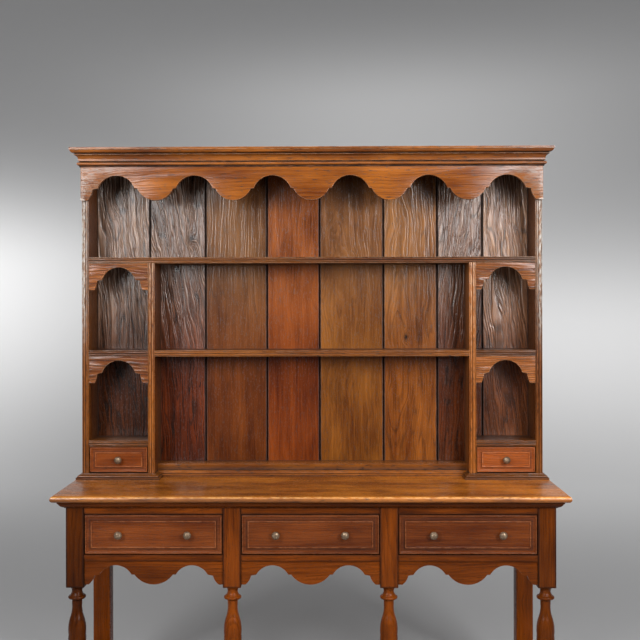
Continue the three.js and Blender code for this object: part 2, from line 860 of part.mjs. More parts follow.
piece(base, "potboard_back_rail", block(...backRailSpan, potboardRailBottom, potboardBottom), baseWood);

// Runners under the drawers' sides with guides between the drawers, all carried by a bar along the back
function runnerFrame() {
  const front = railFront + railThickness + fitGap;
  const back = backPanelFront - fitGap;
  const barFront = back - backBarWidth;
  const guideTop = drawerRailTop + guideHeight;
  const guideFront = legBack + fitGap;
  const endFace = endPanelInner - fitGap;
  const drawerFace = drawerSideGap + drawerBoxInset - guideGap;
  const bodies = [block(-innerEnd, innerEnd, barFront, back, drawerRailBottom, drawerRailTop)];
  for (const centre of legCentres.slice(1, 3)) {
    const half = legSize / 2 + runnerWidth;
    bodies.push(block(centre - half, centre + half, front, back, drawerRailBottom, drawerRailTop));
    const guide = legSize / 2 + drawerFace;
    bodies.push(block(centre - guide, centre + guide, guideFront, barFront, drawerRailBottom, guideTop));
  }
  for (const side of [-1, 1]) {
    const span = (a, b) => (side < 0 ? [-b, -a] : [a, b]);
    const inner = outerLegInner - runnerWidth;
    bodies.push(block(...span(inner, innerEnd), front, back, drawerRailBottom, drawerRailTop));
    const [y0, y1] = [guideFront, backLegFront - fitGap];
    bodies.push(block(...span(inner, endFace), y0, y1, drawerRailBottom, drawerRailTop));
    bodies.push(block(...span(outerLegInner - drawerFace, endFace), y0, y1, drawerRailBottom, guideTop));
  }
  return joined(...bodies);
}
piece(base, "base_runner_frame", runnerFrame(), boxWood);

// The potboard, notched round all six legs
function potboard() {
  const half = carcassHalf - potboardEdgeSetback;
  const [front, back] = [frontY + potboardEdgeSetback, backY - potboardEdgeSetback];
  const [frontNotch, backNotch] = [legBack + fitGap, backLegFront - fitGap];
  const plan = [[-half, frontNotch], [-innerEnd, frontNotch], [-innerEnd, front]];
  for (const centre of legCentres.slice(1, 3)) {
    const [from, to] = [centre - legSize / 2 - fitGap, centre + legSize / 2 + fitGap];
    plan.push([from, front], [from, frontNotch], [to, frontNotch], [to, front]);
  }
  plan.push([innerEnd, front], [innerEnd, frontNotch], [half, frontNotch], [half, backNotch]);
  plan.push([innerEnd, backNotch], [innerEnd, back], [-innerEnd, back], [-innerEnd, backNotch]);
  plan.push([-half, backNotch]);
  return prism(traced(plan), "z", potboardBottom, potboardBottom + potboardThickness);
}
piece(base, "potboard", potboard(), baseWood);

// Base drawers
const drawerWidth = bayWidth - 2 * drawerSideGap;
const drawerHeight = drawerOpeningHeight - 2 * drawerTopGap;
["left", "centre", "right"].forEach((word, i) => {
  const drawer = new THREE.Group();
  const centre = (legCentres[i] + legCentres[i + 1]) / 2;
  drawer.position.set(centre, frontY + drawerFrontSetback, drawerRailTop + drawerTopGap);
  base.add(drawer);
  const front = fieldedFront(drawerWidth, drawerHeight, drawerFrontThickness, drawerBorder);
  piece(drawer, `${word}_drawer_front`, front, frontWood);
  const boxWidth = drawerWidth - 2 * drawerBoxInset;
  const box = drawerBox(boxWidth, drawerBoxHeight, drawerBoxDepth, drawerWall, drawerFloor);
  const boxMesh = piece(drawer, `${word}_drawer_box`, box, boxWood);
  boxMesh.position.set(0, drawerFrontThickness, drawerRunGap - drawerTopGap);
  for (const [side, hand] of [
    [-1, "left"],
    [1, "right"],
  ]) {
    const mesh = piece(drawer, `${word}_drawer_${hand}_knob`, knob(), brass);
    mesh.position.set(side * (drawerWidth / 2 - knobFromEnd), fieldRecess, drawerHeight / 2);
  }
});

const dresser = new THREE.Group();
dresser.add(rack, base);
export default dresser;
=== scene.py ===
import functools
import math
import random

import bmesh
import bpy
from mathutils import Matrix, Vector


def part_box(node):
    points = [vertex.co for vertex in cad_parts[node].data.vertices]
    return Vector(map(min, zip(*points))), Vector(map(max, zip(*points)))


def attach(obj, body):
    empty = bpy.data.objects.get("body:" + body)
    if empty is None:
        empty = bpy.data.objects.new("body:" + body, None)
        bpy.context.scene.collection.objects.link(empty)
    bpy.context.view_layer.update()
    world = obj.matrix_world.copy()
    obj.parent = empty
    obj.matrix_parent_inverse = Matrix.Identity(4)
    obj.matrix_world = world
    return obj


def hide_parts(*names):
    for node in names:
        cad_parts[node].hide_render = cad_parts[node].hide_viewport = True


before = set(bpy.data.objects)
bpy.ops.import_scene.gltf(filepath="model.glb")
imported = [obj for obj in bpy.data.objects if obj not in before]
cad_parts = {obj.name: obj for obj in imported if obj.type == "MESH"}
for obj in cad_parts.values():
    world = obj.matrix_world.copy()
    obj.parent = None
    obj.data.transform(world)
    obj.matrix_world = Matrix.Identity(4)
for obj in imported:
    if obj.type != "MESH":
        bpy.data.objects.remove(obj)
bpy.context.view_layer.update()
print("frame loaded")


def placed(name, data):
    made = bpy.data.objects.new(name, data)
    bpy.context.scene.collection.objects.link(made)
    return made


# Camera: level, a little to the right of the middle, with the picture slid down by its shift
cameraView = {
    "place": (0.0701, -3.5488, 1.4576), "turn": 0.613, "roll": 0.113, "lens": 55.24, "shift": -0.02473,
    "clip": (0.05, 60),
}
cameraData = bpy.data.cameras.new("photo_camera")
cameraData.lens, cameraData.shift_y = cameraView["lens"], cameraView["shift"]
cameraData.clip_start, cameraData.clip_end = cameraView["clip"]
camera = placed("photo_camera", cameraData)
camera.location = cameraView["place"]
camera.rotation_euler = [math.radians(turn) for turn in (90, cameraView["roll"], cameraView["turn"])]
bpy.context.scene.camera = camera
bpy.context.scene.view_settings.view_transform = "Standard"


def paint(*screen):  # screen colour, 0 to 255, as the linear colour a shader wants
    shares = [value / 255 for value in screen]
    return (*(share / 12.92 if share <= 0.04045 else ((share + 0.055) / 1.055) ** 2.4 for share in shares), 1)


# Node trees are written as sums of wires
class Wire:  # one output socket; sums of wires add Math nodes
    def __init__(self, graph, socket):
        self.graph = graph
        self.socket = socket

    def __add__(self, other):
        return self.graph.sum("ADD", self, other)

    def __sub__(self, other):
        return self.graph.sum("SUBTRACT", self, other)

    def __rsub__(self, other):
        return self.graph.sum("SUBTRACT", other, self)

    def __mul__(self, other):
        return self.graph.sum("MULTIPLY", self, other)

    def __truediv__(self, other):
        return self.graph.sum("DIVIDE", self, other)

    def __pow__(self, other):
        return self.graph.sum("POWER", self, other)

    __radd__ = __add__
    __rmul__ = __mul__


class Graph:  # a node tree and the one way nodes get into it
    def __init__(self, tree):
        self.tree = tree

    def node(self, kind, settings=None, values=None, outlet=0):
        made = self.tree.nodes.new(kind)
        for name, value in (settings or {}).items():
            setattr(made, name, value)
        for name, value in (values or {}).items():
            if isinstance(value, Wire):
                self.tree.links.new(value.socket, made.inputs[name])
            else:
                made.inputs[name].default_value = value
        return Wire(self, made.outputs[outlet] if len(made.outputs) else None)

    def sum(self, operation, *values):
        return self.node("ShaderNodeMath", {"operation": operation}, dict(enumerate(values)))

    def vector(self, x, y, z):
        return self.node("ShaderNodeCombineXYZ", {}, {"X": x, "Y": y, "Z": z})

    def vectors(self, operation, a, b):
        return self.node("ShaderNodeVectorMath", {"operation": operation}, {0: a, 1: b})

    def split(self, vector):
        first = self.node("ShaderNodeSeparateXYZ", {}, {0: vector})
        return [Wire(self, socket) for socket in first.socket.node.outputs]

    def noise(self, vector, scale=1.0, detail=2.0, roughness=0.5):
        values = {"Vector": vector, "Scale": scale, "Detail": detail, "Roughness": roughness}
        return self.node("ShaderNodeTexNoise", {}, values)

    def between(self, value, low, high):  # 0 at low, 1 at high
        values = {"Value": value, "From Min": low, "From Max": high}
        return self.node("ShaderNodeMapRange", {"interpolation_type": "SMOOTHSTEP"}, values)

    def mix(self, factor, a, b, blend="MIX"):
        settings = {"data_type": "RGBA", "blend_type": blend, "clamp_factor": True}
        return self.node("ShaderNodeMix", settings, {0: factor, 6: a, 7: b}, 2)

    def attribute(self, name, outlet="Fac"):
        return self.node("ShaderNodeAttribute", {"attribute_name": name}, {}, outlet)


# Noises drawn out along the grain: scale along it, scale across it, detail and roughness
grain = {
    "slow": (2.4, 5, 1, 0.5), "wave": (6.5, 12, 1, 0.5), "quick": (9, 40, 2, 0.5), "fibre": (7, 150, 3, 0.65),
    "streak": (1.5, 34, 2, 0.5), "cloud": (2.2, 5, 3, 0.6), "fleck": (70, 260, 3, 0.7),
    "scuff": (42, 120, 4, 0.65),
}
# Noises that change from year to year: scale over the rings, scale along the grain, layer and detail
yearly = {"seasons": (0.4, 1.3, 0, 1), "strength": (0.9, 6, 4, 1), "split": (0.22, 2.2, 9, 2)}
# Each mask is 0 at its first value and 1 at its second. Those from height on, but for tarnish and specks, are
# places in metres.
masks = {
    "rise": (0.05, 0.72), "drop": (0.76, 0.98), "strength": (0.34, 0.58), "stain": (0.33, 0.67),
    "fibre": (0.35, 0.75), "pores": (0.53, 0.68), "sheenCrest": (0.35, 0.95), "raised": (0.25, 0.95),
    "sheenCrestFibre": (0.35, 0.6), "split": (0.003, 0.022), "rubbed": (0.36, 0.6), "dirtyAndShaded": (0.3, 0.6),
    "height": (1.05, 1.65), "tarnish": (0.4, 0.7), "sheenEnds": (0.6, 0.84), "side": (0.834, 0.842),
    "sideTop": (1.86, 1.84), "face": (0.098, 0.0935), "foot": (1.24, 1.5), "head": (1.97, 1.955),
    "specks": (0.58, 0.42),
}
heartHeight = 1.6  # a leaning heart is as far away as it says at this height


def mask(graph, value, name):
    return graph.between(value, *masks[name])


def atLeast(least, share):  # a mask that doesn't fall below its least
    return share * (1 - least) + least


def grainNoise(graph, parts, name, coarse=1.0):
    along, across, detail, roughness = grain[name]
    scales = (along / coarse, across / coarse, across / coarse)
    place = graph.vector(*(part * scale for part, scale in zip(parts, scales)))
    return graph.noise(place, detail=detail, roughness=roughness)


def yearNoise(graph, rings, length, name):
    over, along, layer, detail = yearly[name]
    return graph.noise(graph.vector(rings * over, length * along, layer), detail=detail)


# Growth rings of sawn wood as a rising number, for colour and for relief. A heart (x, depth, lean) is set
# for each back board, and elsewhere the piece's shift alone places it in its tree.
def ringField(graph, place, shift, along, figure, swirl=1.0, heart=None):
    split = graph.split(graph.vectors("ADD", place, shift))
    length, across, deep = parts = [split[i] for i in {"x": (0, 2, 1), "y": (1, 0, 2), "z": (2, 0, 1)}[along]]
    slow, wave, quick = (grainNoise(graph, parts, name) - 0.5 for name in ("slow", "wave", "quick"))
    if heart:
        x, z = graph.split(place)[::2]
        aside, depth = x - heart[0], heart[1] + (z - heartHeight) * heart[2]
    else:
        aside, depth = across, deep + length * figure["tilt"] + figure["pith"]
    aside = aside + (slow * figure["sway"] + wave * figure["wave"]) * swirl
    depth = depth + quick * figure["ripple"]
    rings = graph.sum("SQRT", aside * aside + depth * depth) * figure["rings"] + quick * figure["uneven"]
    return rings + (yearNoise(graph, rings, length, "seasons") - 0.5) * figure["seasons"], parts


def ringWave(graph, rings, length):  # swells through each year to a crest, then drops, 0 to 1
    part = graph.sum("FRACT", rings)
    wave = mask(graph, part, "rise") * (1 - mask(graph, part, "drop"))
    return wave * atLeast(0.25, mask(graph, yearNoise(graph, rings, length, "strength"), "strength"))


# Knots as (x, z, size): push is how many rings bend round one, and a tighter one has a smaller dark heart
knots = {"places": [(-0.466, 1.712, 0.017), (0.36, 1.33, 0.012)], "tall": 1.7, "push": 3.4, "tight": 2.2}


def withKnots(graph, rings, place):  # rings pushed aside round each knot, and the knots' own mask
    x, z = graph.split(place)[::2]
    heartwood = 0.0
    for knotX, knotZ, size in knots["places"]:
        away = ((x - knotX) / size) ** 2 + ((z - knotZ) / (size * knots["tall"])) ** 2
        rings = rings + graph.sum("EXPONENT", away * -1.0) * knots["push"]
        heartwood = heartwood + graph.sum("EXPONENT", away * -knots["tight"])
    return rings, heartwood


figures = {
    "plain": {"sway": 0.05, "tilt": 0.03, "pith": 0.04, "ripple": 0.012, "rings": 150, "uneven": 0.6,
              "wave": 0.008, "seasons": 2.0},
    "bold": {"sway": 0.07, "ripple": 0.01, "rings": 115, "uneven": 1.3, "wave": 0.05, "seasons": 4.5},
    "fine": {"sway": 0.02, "tilt": 0.01, "pith": 0.3, "ripple": 0.01, "rings": 240, "uneven": 0.4,
             "wave": 0.004, "seasons": 2.0},
}


# Painted sheen where the side lamps reflect: its share on the front towards both ends, on the side pieces'
# fronts, and its depth
sheenPainting = {"front": 0.6, "side": 0.4, "depth": 0.9}


def paintedEndSheen(graph, colour, tint, place, specks):  # the rack's front with painted sheen towards both ends and on the side pieces' fronts, broken up by scuff specks
    x, y, z = graph.split(place)
    out = graph.sum("ABSOLUTE", x)
    side = mask(graph, out, "side") * mask(graph, z, "sideTop")
    share = mask(graph, out, "sheenEnds") * sheenPainting["front"] + side * sheenPainting["side"]
    for value, name in ((y, "face"), (z, "foot"), (z, "head"), (specks, "specks")):
        share = share * mask(graph, value, name)
    pale = graph.mix(side, tint["bleachedFront"], tint["sheenSide"])
    return graph.mix(share * sheenPainting["depth"], colour, pale)


def newMaterial(name):
    material = bpy.data.materials.new(name)
    material.use_nodes = True
    material.node_tree.nodes.clear()
    return material, Graph(material.node_tree)


def closeMaterial(graph, values, height=None):  # height is the relief in millimetres
    if height:
        relief = {"Strength": 1.0, "Distance": 0.001, "Height": height}
        values["Normal"] = graph.node("ShaderNodeBump", {}, relief, "Normal")
    shader = graph.node("ShaderNodeBsdfPrincipled", {}, values)
    graph.node("ShaderNodeOutputMaterial", {}, {"Surface": shader})


# What roughens a wood, or below 0 polishes it
roughening = {"cloud": 0.1, "fibre": 0.08, "pores": 0.2, "worn": -0.05, "grimeAndShade": 0.65}
# Relief in millimetres: the rings' is its least, and what the cloud adds
bumps = {"rings": (0.2, 1.6), "streak": 0.25, "pores": -0.1, "swell": 0.6, "swellScale": 9}


# One wood finish: ring and fibre colour over a cloudy stain, pores, worn edges, dirt and painted shade in
# corners, painted sheen, relief as bump
@functools.cache
def wood(kind, along):  # made once for each grain direction
    material, graph = newMaterial(f"{kind}_wood_{along}")
    finish = {**plainFinish, **finishes[kind]}
    tint = {key: paint(*value) for key, value in finish.items() if isinstance(value, tuple)}
    stained = "sheenCrest" in finish
    place = graph.node("ShaderNodeTexCoord", outlet="Object")
    relief, swirl, contrast, heart = 1.0, 1.0, 1.0, None
    if stained:  # each back board has its own relief, swirl, contrast and heart
        relief, swirl, contrast = graph.split(graph.attribute("boardFigure", "Vector"))
        heart = graph.split(graph.attribute("boardHeart", "Vector"))
    shift = graph.attribute("grainShift", "Vector")
    rings, parts = ringField(graph, place, shift, along, figures[finish["figure"]], swirl, heart)
    if stained:
        rings, heartwood = withKnots(graph, rings, place)
    late = ringWave(graph, rings, parts[0])
    fibre, streak, scuff = (grainNoise(graph, parts, noise) for noise in ("fibre", "streak", "scuff"))
    cloud = grainNoise(graph, parts, "cloud", 1 / finish["patch"])
    fleck = grainNoise(graph, parts, "fleck", finish["fleck"])
    pores = mask(graph, fleck, "pores") * atLeast(0.6, late)

    colour = graph.mix(mask(graph, cloud * 0.7 + streak * 0.3, "stain"), tint["dark"], tint["light"])
    band = (1 - late) ** 2 if stained else late  # dirt lies in the boards' sunk early wood
    colour = graph.mix(band * finish["ringDepth"] * contrast, colour, tint["ring"])
    colour = graph.mix(mask(graph, fibre, "fibre") * finish["fibreDepth"], colour, tint["fibre"])
    colour = graph.mix(pores * finish["poreDepth"], colour, tint["pore"])
    if stained:  # the back boards' own colours, then painted sheen on the raised crests, a few dark splits and the knots
        colour = graph.mix(1.0, colour, graph.attribute("boardStain", "Color"), "MULTIPLY")
        sheenCrest = mask(graph, late, "sheenCrest") * mask(graph, relief, "raised") * mask(graph, fibre, "sheenCrestFibre")
        colour = graph.mix(sheenCrest * finish["sheenCrestDepth"], colour, tint["sheenCrest"])
        split = graph.sum("ABSOLUTE", yearNoise(graph, rings, parts[0], "split") - 0.5)
        split = (1 - mask(graph, split, "split")) * contrast * finish["splitDepth"]
        colour = graph.mix(split, colour, tint["pore"])
        colour = graph.mix(heartwood, colour, tint["pore"])
    edge = graph.attribute("edge")  # 1 on a rounded edge, -1 down in a corner
    worn = graph.sum("MAXIMUM", edge, 0.0) * mask(graph, scuff, "rubbed")
    # dirt and painted shade: corners, quirks and gaps marked below 0 are darkened
    grimeAndShade = graph.sum("MAXIMUM", edge * -1.0, 0.0) * atLeast(0.6, mask(graph, scuff, "dirtyAndShaded"))
    pale = tint["worn"]
    if "wornLow" in finish:  # the rack's worn edges are paler high up: wear, with painted sheen where the high lamps reflect
        pale = graph.mix(mask(graph, graph.split(place)[2], "height"), tint["wornLow"], pale)
    colour = graph.mix(worn * finish["wearDepth"], colour, pale)
    if "wornLow" in finish:
        # painted sheen towards the rack's ends and on its sides' fronts
        colour = paintedEndSheen(graph, colour, tint, place, fleck * 0.6 + scuff * 0.4)
    colour = graph.mix(grimeAndShade * finish["grimeAndShadeDepth"], colour, tint["pore"])
    tone = graph.attribute("tone") + 1
    colour = graph.node("ShaderNodeHueSaturation", {}, {"Value": tone, "Color": colour})

    layers = {"cloud": cloud - 0.5, "fibre": fibre - 0.5, "pores": pores, "worn": worn, "grimeAndShade": grimeAndShade}
    rough = finish["rough"]
    for name, share in roughening.items():
        rough = rough + layers[name] * share
    least, clouded = bumps["rings"]
    height = late * finish["relief"] * (cloud * clouded + least)
    height = (height + fibre * finish["fibreRelief"] + streak * bumps["streak"]) * relief
    swell = graph.noise(place, scale=bumps["swellScale"], detail=1)
    height = height + pores * bumps["pores"] + swell * bumps["swell"]
    values = {"Base Color": colour, "Roughness": rough, "Specular IOR Level": finish["gloss"]}
    closeMaterial(graph, values, height)
    return material


plainFinish = {
    "figure": "plain", "ringDepth": 0.3, "fibreDepth": 0.3, "wearDepth": 0.5, "poreDepth": 0.6, "patch": 1,
    "fleck": 1, "gloss": 0.5, "sheenCrestDepth": 0.3, "splitDepth": 0.75, "grimeAndShadeDepth": 0.92,
}
finishes = {
    "rack": {
        "slot": "rack_wood", "dark": (92, 42, 10), "light": (158, 90, 26), "ring": (64, 26, 8),
        # the rack's worn colour carries painted sheen; wornLow is its worn colour low down, without it
        "fibre": (176, 104, 42), "pore": (24, 12, 8), "worn": (212, 172, 136), "wornLow": (184, 114, 62),
        "bleachedFront": (116, 108, 98), "sheenSide": (234, 228, 218), "fibreDepth": 0.25, "rough": 0.24,
        "relief": 0.35, "fibreRelief": 0.4, "gloss": 0.32, "fleck": 1.7, "poreDepth": 0.9,
    },
    "raised": {
        "slot": "rack_wood", "dark": (84, 36, 10), "light": (158, 90, 38), "ring": (36, 14, 6),
        "fibre": (186, 120, 62), "pore": (24, 12, 8), "worn": (226, 190, 150), "ringDepth": 0.75,
        "rough": 0.26, "relief": 1.4, "fibreRelief": 0.6, "fleck": 1.7, "gloss": 0.4,
    },
    "board": {
        "slot": "back_board_wood", "figure": "bold", "dark": (140, 110, 94), "light": (240, 222, 206),
        "ring": (40, 26, 20), "fibre": (246, 228, 212), "pore": (24, 14, 10), "worn": (240, 220, 200),
        "sheenCrest": (204, 192, 180), "ringDepth": 0.85, "fibreDepth": 0.4, "wearDepth": 0.3, "rough": 0.23,
        "relief": 1.2, "fibreRelief": 2.2,
    },
    "top": {
        "slot": "top_board_wood", "dark": (98, 48, 12), "light": (180, 106, 32), "ring": (72, 32, 8),
        "fibre": (186, 112, 40), "pore": (30, 16, 6), "worn": (212, 156, 90), "wearDepth": 0.85,
        "rough": 0.25, "relief": 0.12, "fibreRelief": 0.12, "patch": 1.8, "fleck": 1.7, "poreDepth": 0.85,
    },
    "base": {
        "slot": "base_wood", "dark": (62, 24, 4), "light": (116, 54, 8), "ring": (46, 16, 3),
        "fibre": (136, 68, 16), "pore": (18, 8, 4), "worn": (150, 90, 44), "ringDepth": 0.4, "rough": 0.26,
        "relief": 0.2, "fibreRelief": 0.2, "gloss": 0.1,
    },
    "front": {
        "slot": "drawer_front_wood", "dark": (92, 38, 12), "light": (150, 76, 30), "ring": (74, 28, 8),
        "fibre": (168, 92, 42), "pore": (26, 12, 8), "worn": (196, 134, 92), "ringDepth": 0.35,
        "wearDepth": 0.6, "rough": 0.25, "relief": 0.2, "fibreRelief": 0.2, "gloss": 0.18,
    },
    "inside": {
        "slot": "drawer_box_wood", "figure": "fine", "dark": (140, 102, 60), "light": (186, 146, 96),
        "ring": (128, 88, 50), "fibre": (196, 160, 112), "pore": (80, 52, 30), "worn": (196, 166, 122),
        "ringDepth": 0.4, "wearDepth": 0.3, "rough": 0.62, "relief": 0.12, "fibreRelief": 0.2, "gloss": 0.3,
    },
}


# Tarnish spares edges, and dulls and roughens the metal. The last two are relief in millimetres.
tarnishing = {
    "spares": 0.3, "dulls": 0.45, "roughens": 0.2, "specks": 0.15, "cloudRelief": 0.12, "speckRelief": 0.05,
}


def metal(name, bright, tarnished, rough):
    material, graph = newMaterial(name)
    place = graph.node("ShaderNodeTexCoord", outlet="Object")
    cloud = graph.noise(place, scale=120, detail=4, roughness=0.65)
    speck = graph.noise(place, scale=900, detail=2)
    tarnish = mask(graph, cloud + (0.5 - graph.attribute("edge")) * tarnishing["spares"], "tarnish")
    values = {
        "Base Color": graph.mix(tarnish, paint(*bright), paint(*tarnished)),
        "Metallic": 1 - tarnish * tarnishing["dulls"],
        "Roughness": rough + tarnish * tarnishing["roughens"] + (speck - 0.5) * tarnishing["specks"],
    }
    closeMaterial(graph, values, cloud * tarnishing["cloudRelief"] + speck * tarnishing["speckRelief"])
    return material


brass = metal("aged_brass", (188, 164, 136), (104, 84, 66), 0.34)
iron = metal("nail_iron", (84, 78, 74), (46, 36, 32), 0.5)
print("materials made")

# Shapes: outlines, skins over them and mouldings
def traced(entries, steps=8):  # (u, v, bulge, edge) corners as points; a bulge swells to the left of the way
    points = []
    for u, v, *more in entries:
        if more and more[0]:
            bulge, start, end = more[0], complex(*points[-1][:2]), complex(u, v)
            chord = abs(end - start)
            along = (end - start) / chord
            left = along * math.copysign(1, bulge) * 1j
            rise = abs(bulge) * chord
            radius = (chord * chord / 4 + rise * rise) / (2 * rise)
            half = 2 * math.atan(2 * abs(bulge))
            middle = (start + end) / 2 + left * (rise - radius)
            for i in range(1, steps):
                angle = half * (2 * i / steps - 1)
                point = middle + radius * (along * math.sin(angle) + left * math.cos(angle))
                points.append((point.real, point.imag))
        points.append((u, v, *more[1:]))
    return points


def sized(shares, width, height):
    return [(entry[0] * width, entry[1] * height, *entry[2:]) for entry in shares]


# A corner counts from this turn on, and its round and fade take at most these shares of a side
softening = {"turn": 0.5, "reach": 0.3, "fade": 0.45}


def softened(points, reach=0.0008, fade=0.0026, closed=True):
    # Outline points as (u, v, edge): sharp corners get a small round with edge 1, inner corners get edge -1,
    # and a point that brings its own edge keeps it
    given = [point[2] if len(point) > 2 else 0 for point in points]
    points = [point[:2] for point in points]
    count = len(points)
    around = sum(points[i - 1][0] * points[i][1] - points[i][0] * points[i - 1][1] for i in range(count))
    side = -1 if closed and around < 0 else 1
    result = []
    for i, (u, v) in enumerate(points):
        if given[i]:
            result.append((u, v, given[i]))
            continue
        corner = Vector((u, v))
        back, on = Vector(points[i - 1]) - corner, Vector(points[(i + 1) % count]) - corner
        turn = side * math.atan2(on.x * back.y - on.y * back.x, -back.dot(on))
        if abs(turn) < softening["turn"] or not (closed or 0 < i < count - 1):
            result.append((u, v, 0.0))
            continue
        far = [min(fade, softening["fade"] * way.length) for way in (back, on)]
        near = min(reach, *(softening["reach"] * way.length for way in (back, on)))
        back, on = back.normalized(), on.normalized()
        result.append((*(corner + back * far[0]), 0.0))
        if turn > 0:
            p, q = corner + back * near, corner + on * near
            result += [(*p, 0.8), (*((p + q) / 4 + corner / 2), 1.0), (*q, 0.8)]
        else:
            result.append((u, v, -1.0))
        result.append((*(corner + on * far[1]), 0.0))
    return result


def loft(bm, rings, edges=None, ringEdges=None):  # a skin over rings of equal count, ends filled
    layer = bm.verts.layers.float.get("edge") or bm.verts.layers.float.new("edge")
    made = [[bm.verts.new(point) for point in ring] for ring in rings]
    for j, ring in enumerate(made):
        for i, vert in enumerate(ring):
            vert[layer] = edges[i] if edges else ringEdges[j] if ringEdges else 0.0
    for a, b in zip(made, made[1:]):
        for i in range(len(a)):
            j = (i + 1) % len(a)
            bm.faces.new((a[i], a[j], b[j], b[i]))
    bm.faces.new(made[0])
    bm.faces.new(reversed(made[-1]))
    return made


def prism(bm, outline, axis, start, end):  # an outline across an axis, run along it
    i = "xyz".index(axis)
    edges = [point[2] if len(point) > 2 else 0.0 for point in outline]
    loft(bm, [[(*point[:i], along, *point[i:2]) for point in outline] for along in (start, end)], edges)


def block(bm, x0, x1, y0, y1, z0, z1):
    prism(bm, [(x0, y0), (x1, y0), (x1, y1), (x0, y1)], "z", z0, z1)


def mouldingRun(bm, path, section, bottom):  # mitred at the path's corners, face on the right of the way
    ways = []
    for a, b in zip(path, path[1:]):
        reach = math.hypot(b[0] - a[0], b[1] - a[1])
        ways.append(((b[1] - a[1]) / reach, -(b[0] - a[0]) / reach))
    rings = []
    for i, (x, y) in enumerate(path):
        before, after = ways[max(i - 1, 0)], ways[min(i, len(ways) - 1)]
        spread = 1 + before[0] * after[0] + before[1] * after[1]
        mitreX, mitreY = (before[0] + after[0]) / spread, (before[1] + after[1]) / spread
        rings.append([(x + mitreX * out, y + mitreY * out, bottom + up) for out, up, edge in section])
    loft(bm, rings, [point[2] for point in section])


scallops = {"tip": 0.2, "swell": 1 / 6}  # how far an end's tip drops and its lobe bulges, as shares of them


def scallopEdge(start, end, size):  # lower edge of a scalloped board, left to right, depths from its top
    arches, crown, cusp, drop, lobe = (size[k] for k in ("arches", "crown", "cusp", "drop", "lobe"))
    endStep, step, pendant, foot = size["endStep"], size.get("step", 0), size.get("pendant", 0), size["foot"]
    chord = (end - start - 2 * (foot + lobe + endStep) - (arches - 1) * (2 * step + pendant)) / arches
    tip = cusp + endStep * scallops["tip"]
    lobeRise = lobe * scallops["swell"] / math.hypot(lobe, drop - tip)
    x = start + foot + lobe
    edge = [(start, -drop), (start + foot, -drop), (x, -tip, -lobeRise)]
    x += endStep
    for i in range(arches):
        edge += [(x, -cusp), (x + chord, -cusp, (cusp - crown) / chord)]
        x += chord
        if i + 1 < arches:
            edge += [(x + step, -cusp), (x + step + pendant, -cusp, (cusp - drop) / pendant)]
            x += 2 * step + pendant
    return edge + [(x + endStep, -tip), (end - foot, -drop, -lobeRise), (end, -drop)]


def raised(entries, height):
    return [(entry[0], entry[1] + height, *entry[2:]) for entry in entries]


def meshOf(name, bm):  # a built shape as a mesh, and the shape let go
    mesh = bpy.data.meshes.new(name)
    bm.to_mesh(mesh)
    bm.free()
    return mesh


def marked(mesh, name, kind, values):  # a value for each of the mesh's points
    layer = mesh.attributes.new(name, kind, "POINT")
    layer.data.foreach_set({"FLOAT": "value", "FLOAT_VECTOR": "vector", "FLOAT_COLOR": "color"}[kind], values)


finishing = {  # eased edges; dirt and painted shade that creep in from the rims of broad faces; how pieces of one wood differ
    "sharp": 28, "rounds": 2, "profile": 0.6, "broad": 0.015, "creep": 0.0055, "apart": 3, "shade": 0.07,
    "smooth": 32, "worn": (0.5, 0.8),
}


# Turns a built shape into a piece: eased convex edges that wear, its own place in the wood, body and
# material.
# Rub is how far its edges are worn pale, or below 0 how far they are darkened with dirt and painted shade.
def finishPiece(name, bm, kind, along, node, body="carcass", ease=0.0012, tone=0.0, rub=1.0):
    bmesh.ops.remove_doubles(bm, verts=bm.verts, dist=1e-6)
    bmesh.ops.recalc_face_normals(bm, faces=bm.faces)
    rounded = set()
    if ease:
        limit = math.radians(finishing["sharp"])
        edges = [e for e in bm.edges if e.is_convex and e.calc_face_angle(0) > limit]
        made = bmesh.ops.bevel(
            bm, geom=edges, offset=ease, offset_type="OFFSET", segments=finishing["rounds"],
            profile=finishing["profile"], affect="EDGES", clamp_overlap=True,
        )
        rounded = set(made["faces"])
    if rub < 0:
        broad = finishing["broad"]
        flats = [f for f in bm.faces if f not in rounded and min(e.calc_length() for e in f.edges) > broad]
        bmesh.ops.inset_individual(bm, faces=flats, thickness=finishing["creep"], use_even_offset=True)
    given = bm.verts.layers.float.get("edge")
    layer = given or bm.verts.layers.float.new("edge")
    whole = any if rub < 0 else all
    low, high = finishing["worn"]
    for vert in bm.verts:
        if rounded:
            vert[layer] = rub if whole(face in rounded for face in vert.link_faces) else 0.0
        elif not given:
            bend = max((e.calc_face_angle(0) for e in vert.link_edges if e.is_convex), default=0)
            vert[layer] = min(1.0, max(0.0, (bend - low) / (high - low)))
    return dressed(name, meshOf(name, bm), kind, along, node, body, tone)


def dressed(name, mesh, kind, along, node, body="carcass", tone=0.0, shift=None):
    rng = random.Random(name)
    count = len(mesh.vertices)
    apart, shade = finishing["apart"], finishing["shade"]
    shift = shift or [rng.uniform(-apart, apart) for i in range(3)]
    marked(mesh, "grainShift", "FLOAT_VECTOR", list(shift) * count)
    marked(mesh, "tone", "FLOAT", [tone + rng.uniform(-shade, shade)] * count)
    mesh.polygons.foreach_set("use_smooth", [True] * len(mesh.polygons))
    mesh.set_sharp_from_angle(angle=math.radians(finishing["smooth"]))
    mesh.materials.clear()
    mesh.materials.append(wood(kind, along) if kind in finishes else kind)
    piece = placed(name, mesh)
    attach(piece, body)
    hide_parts(node)
    return piece


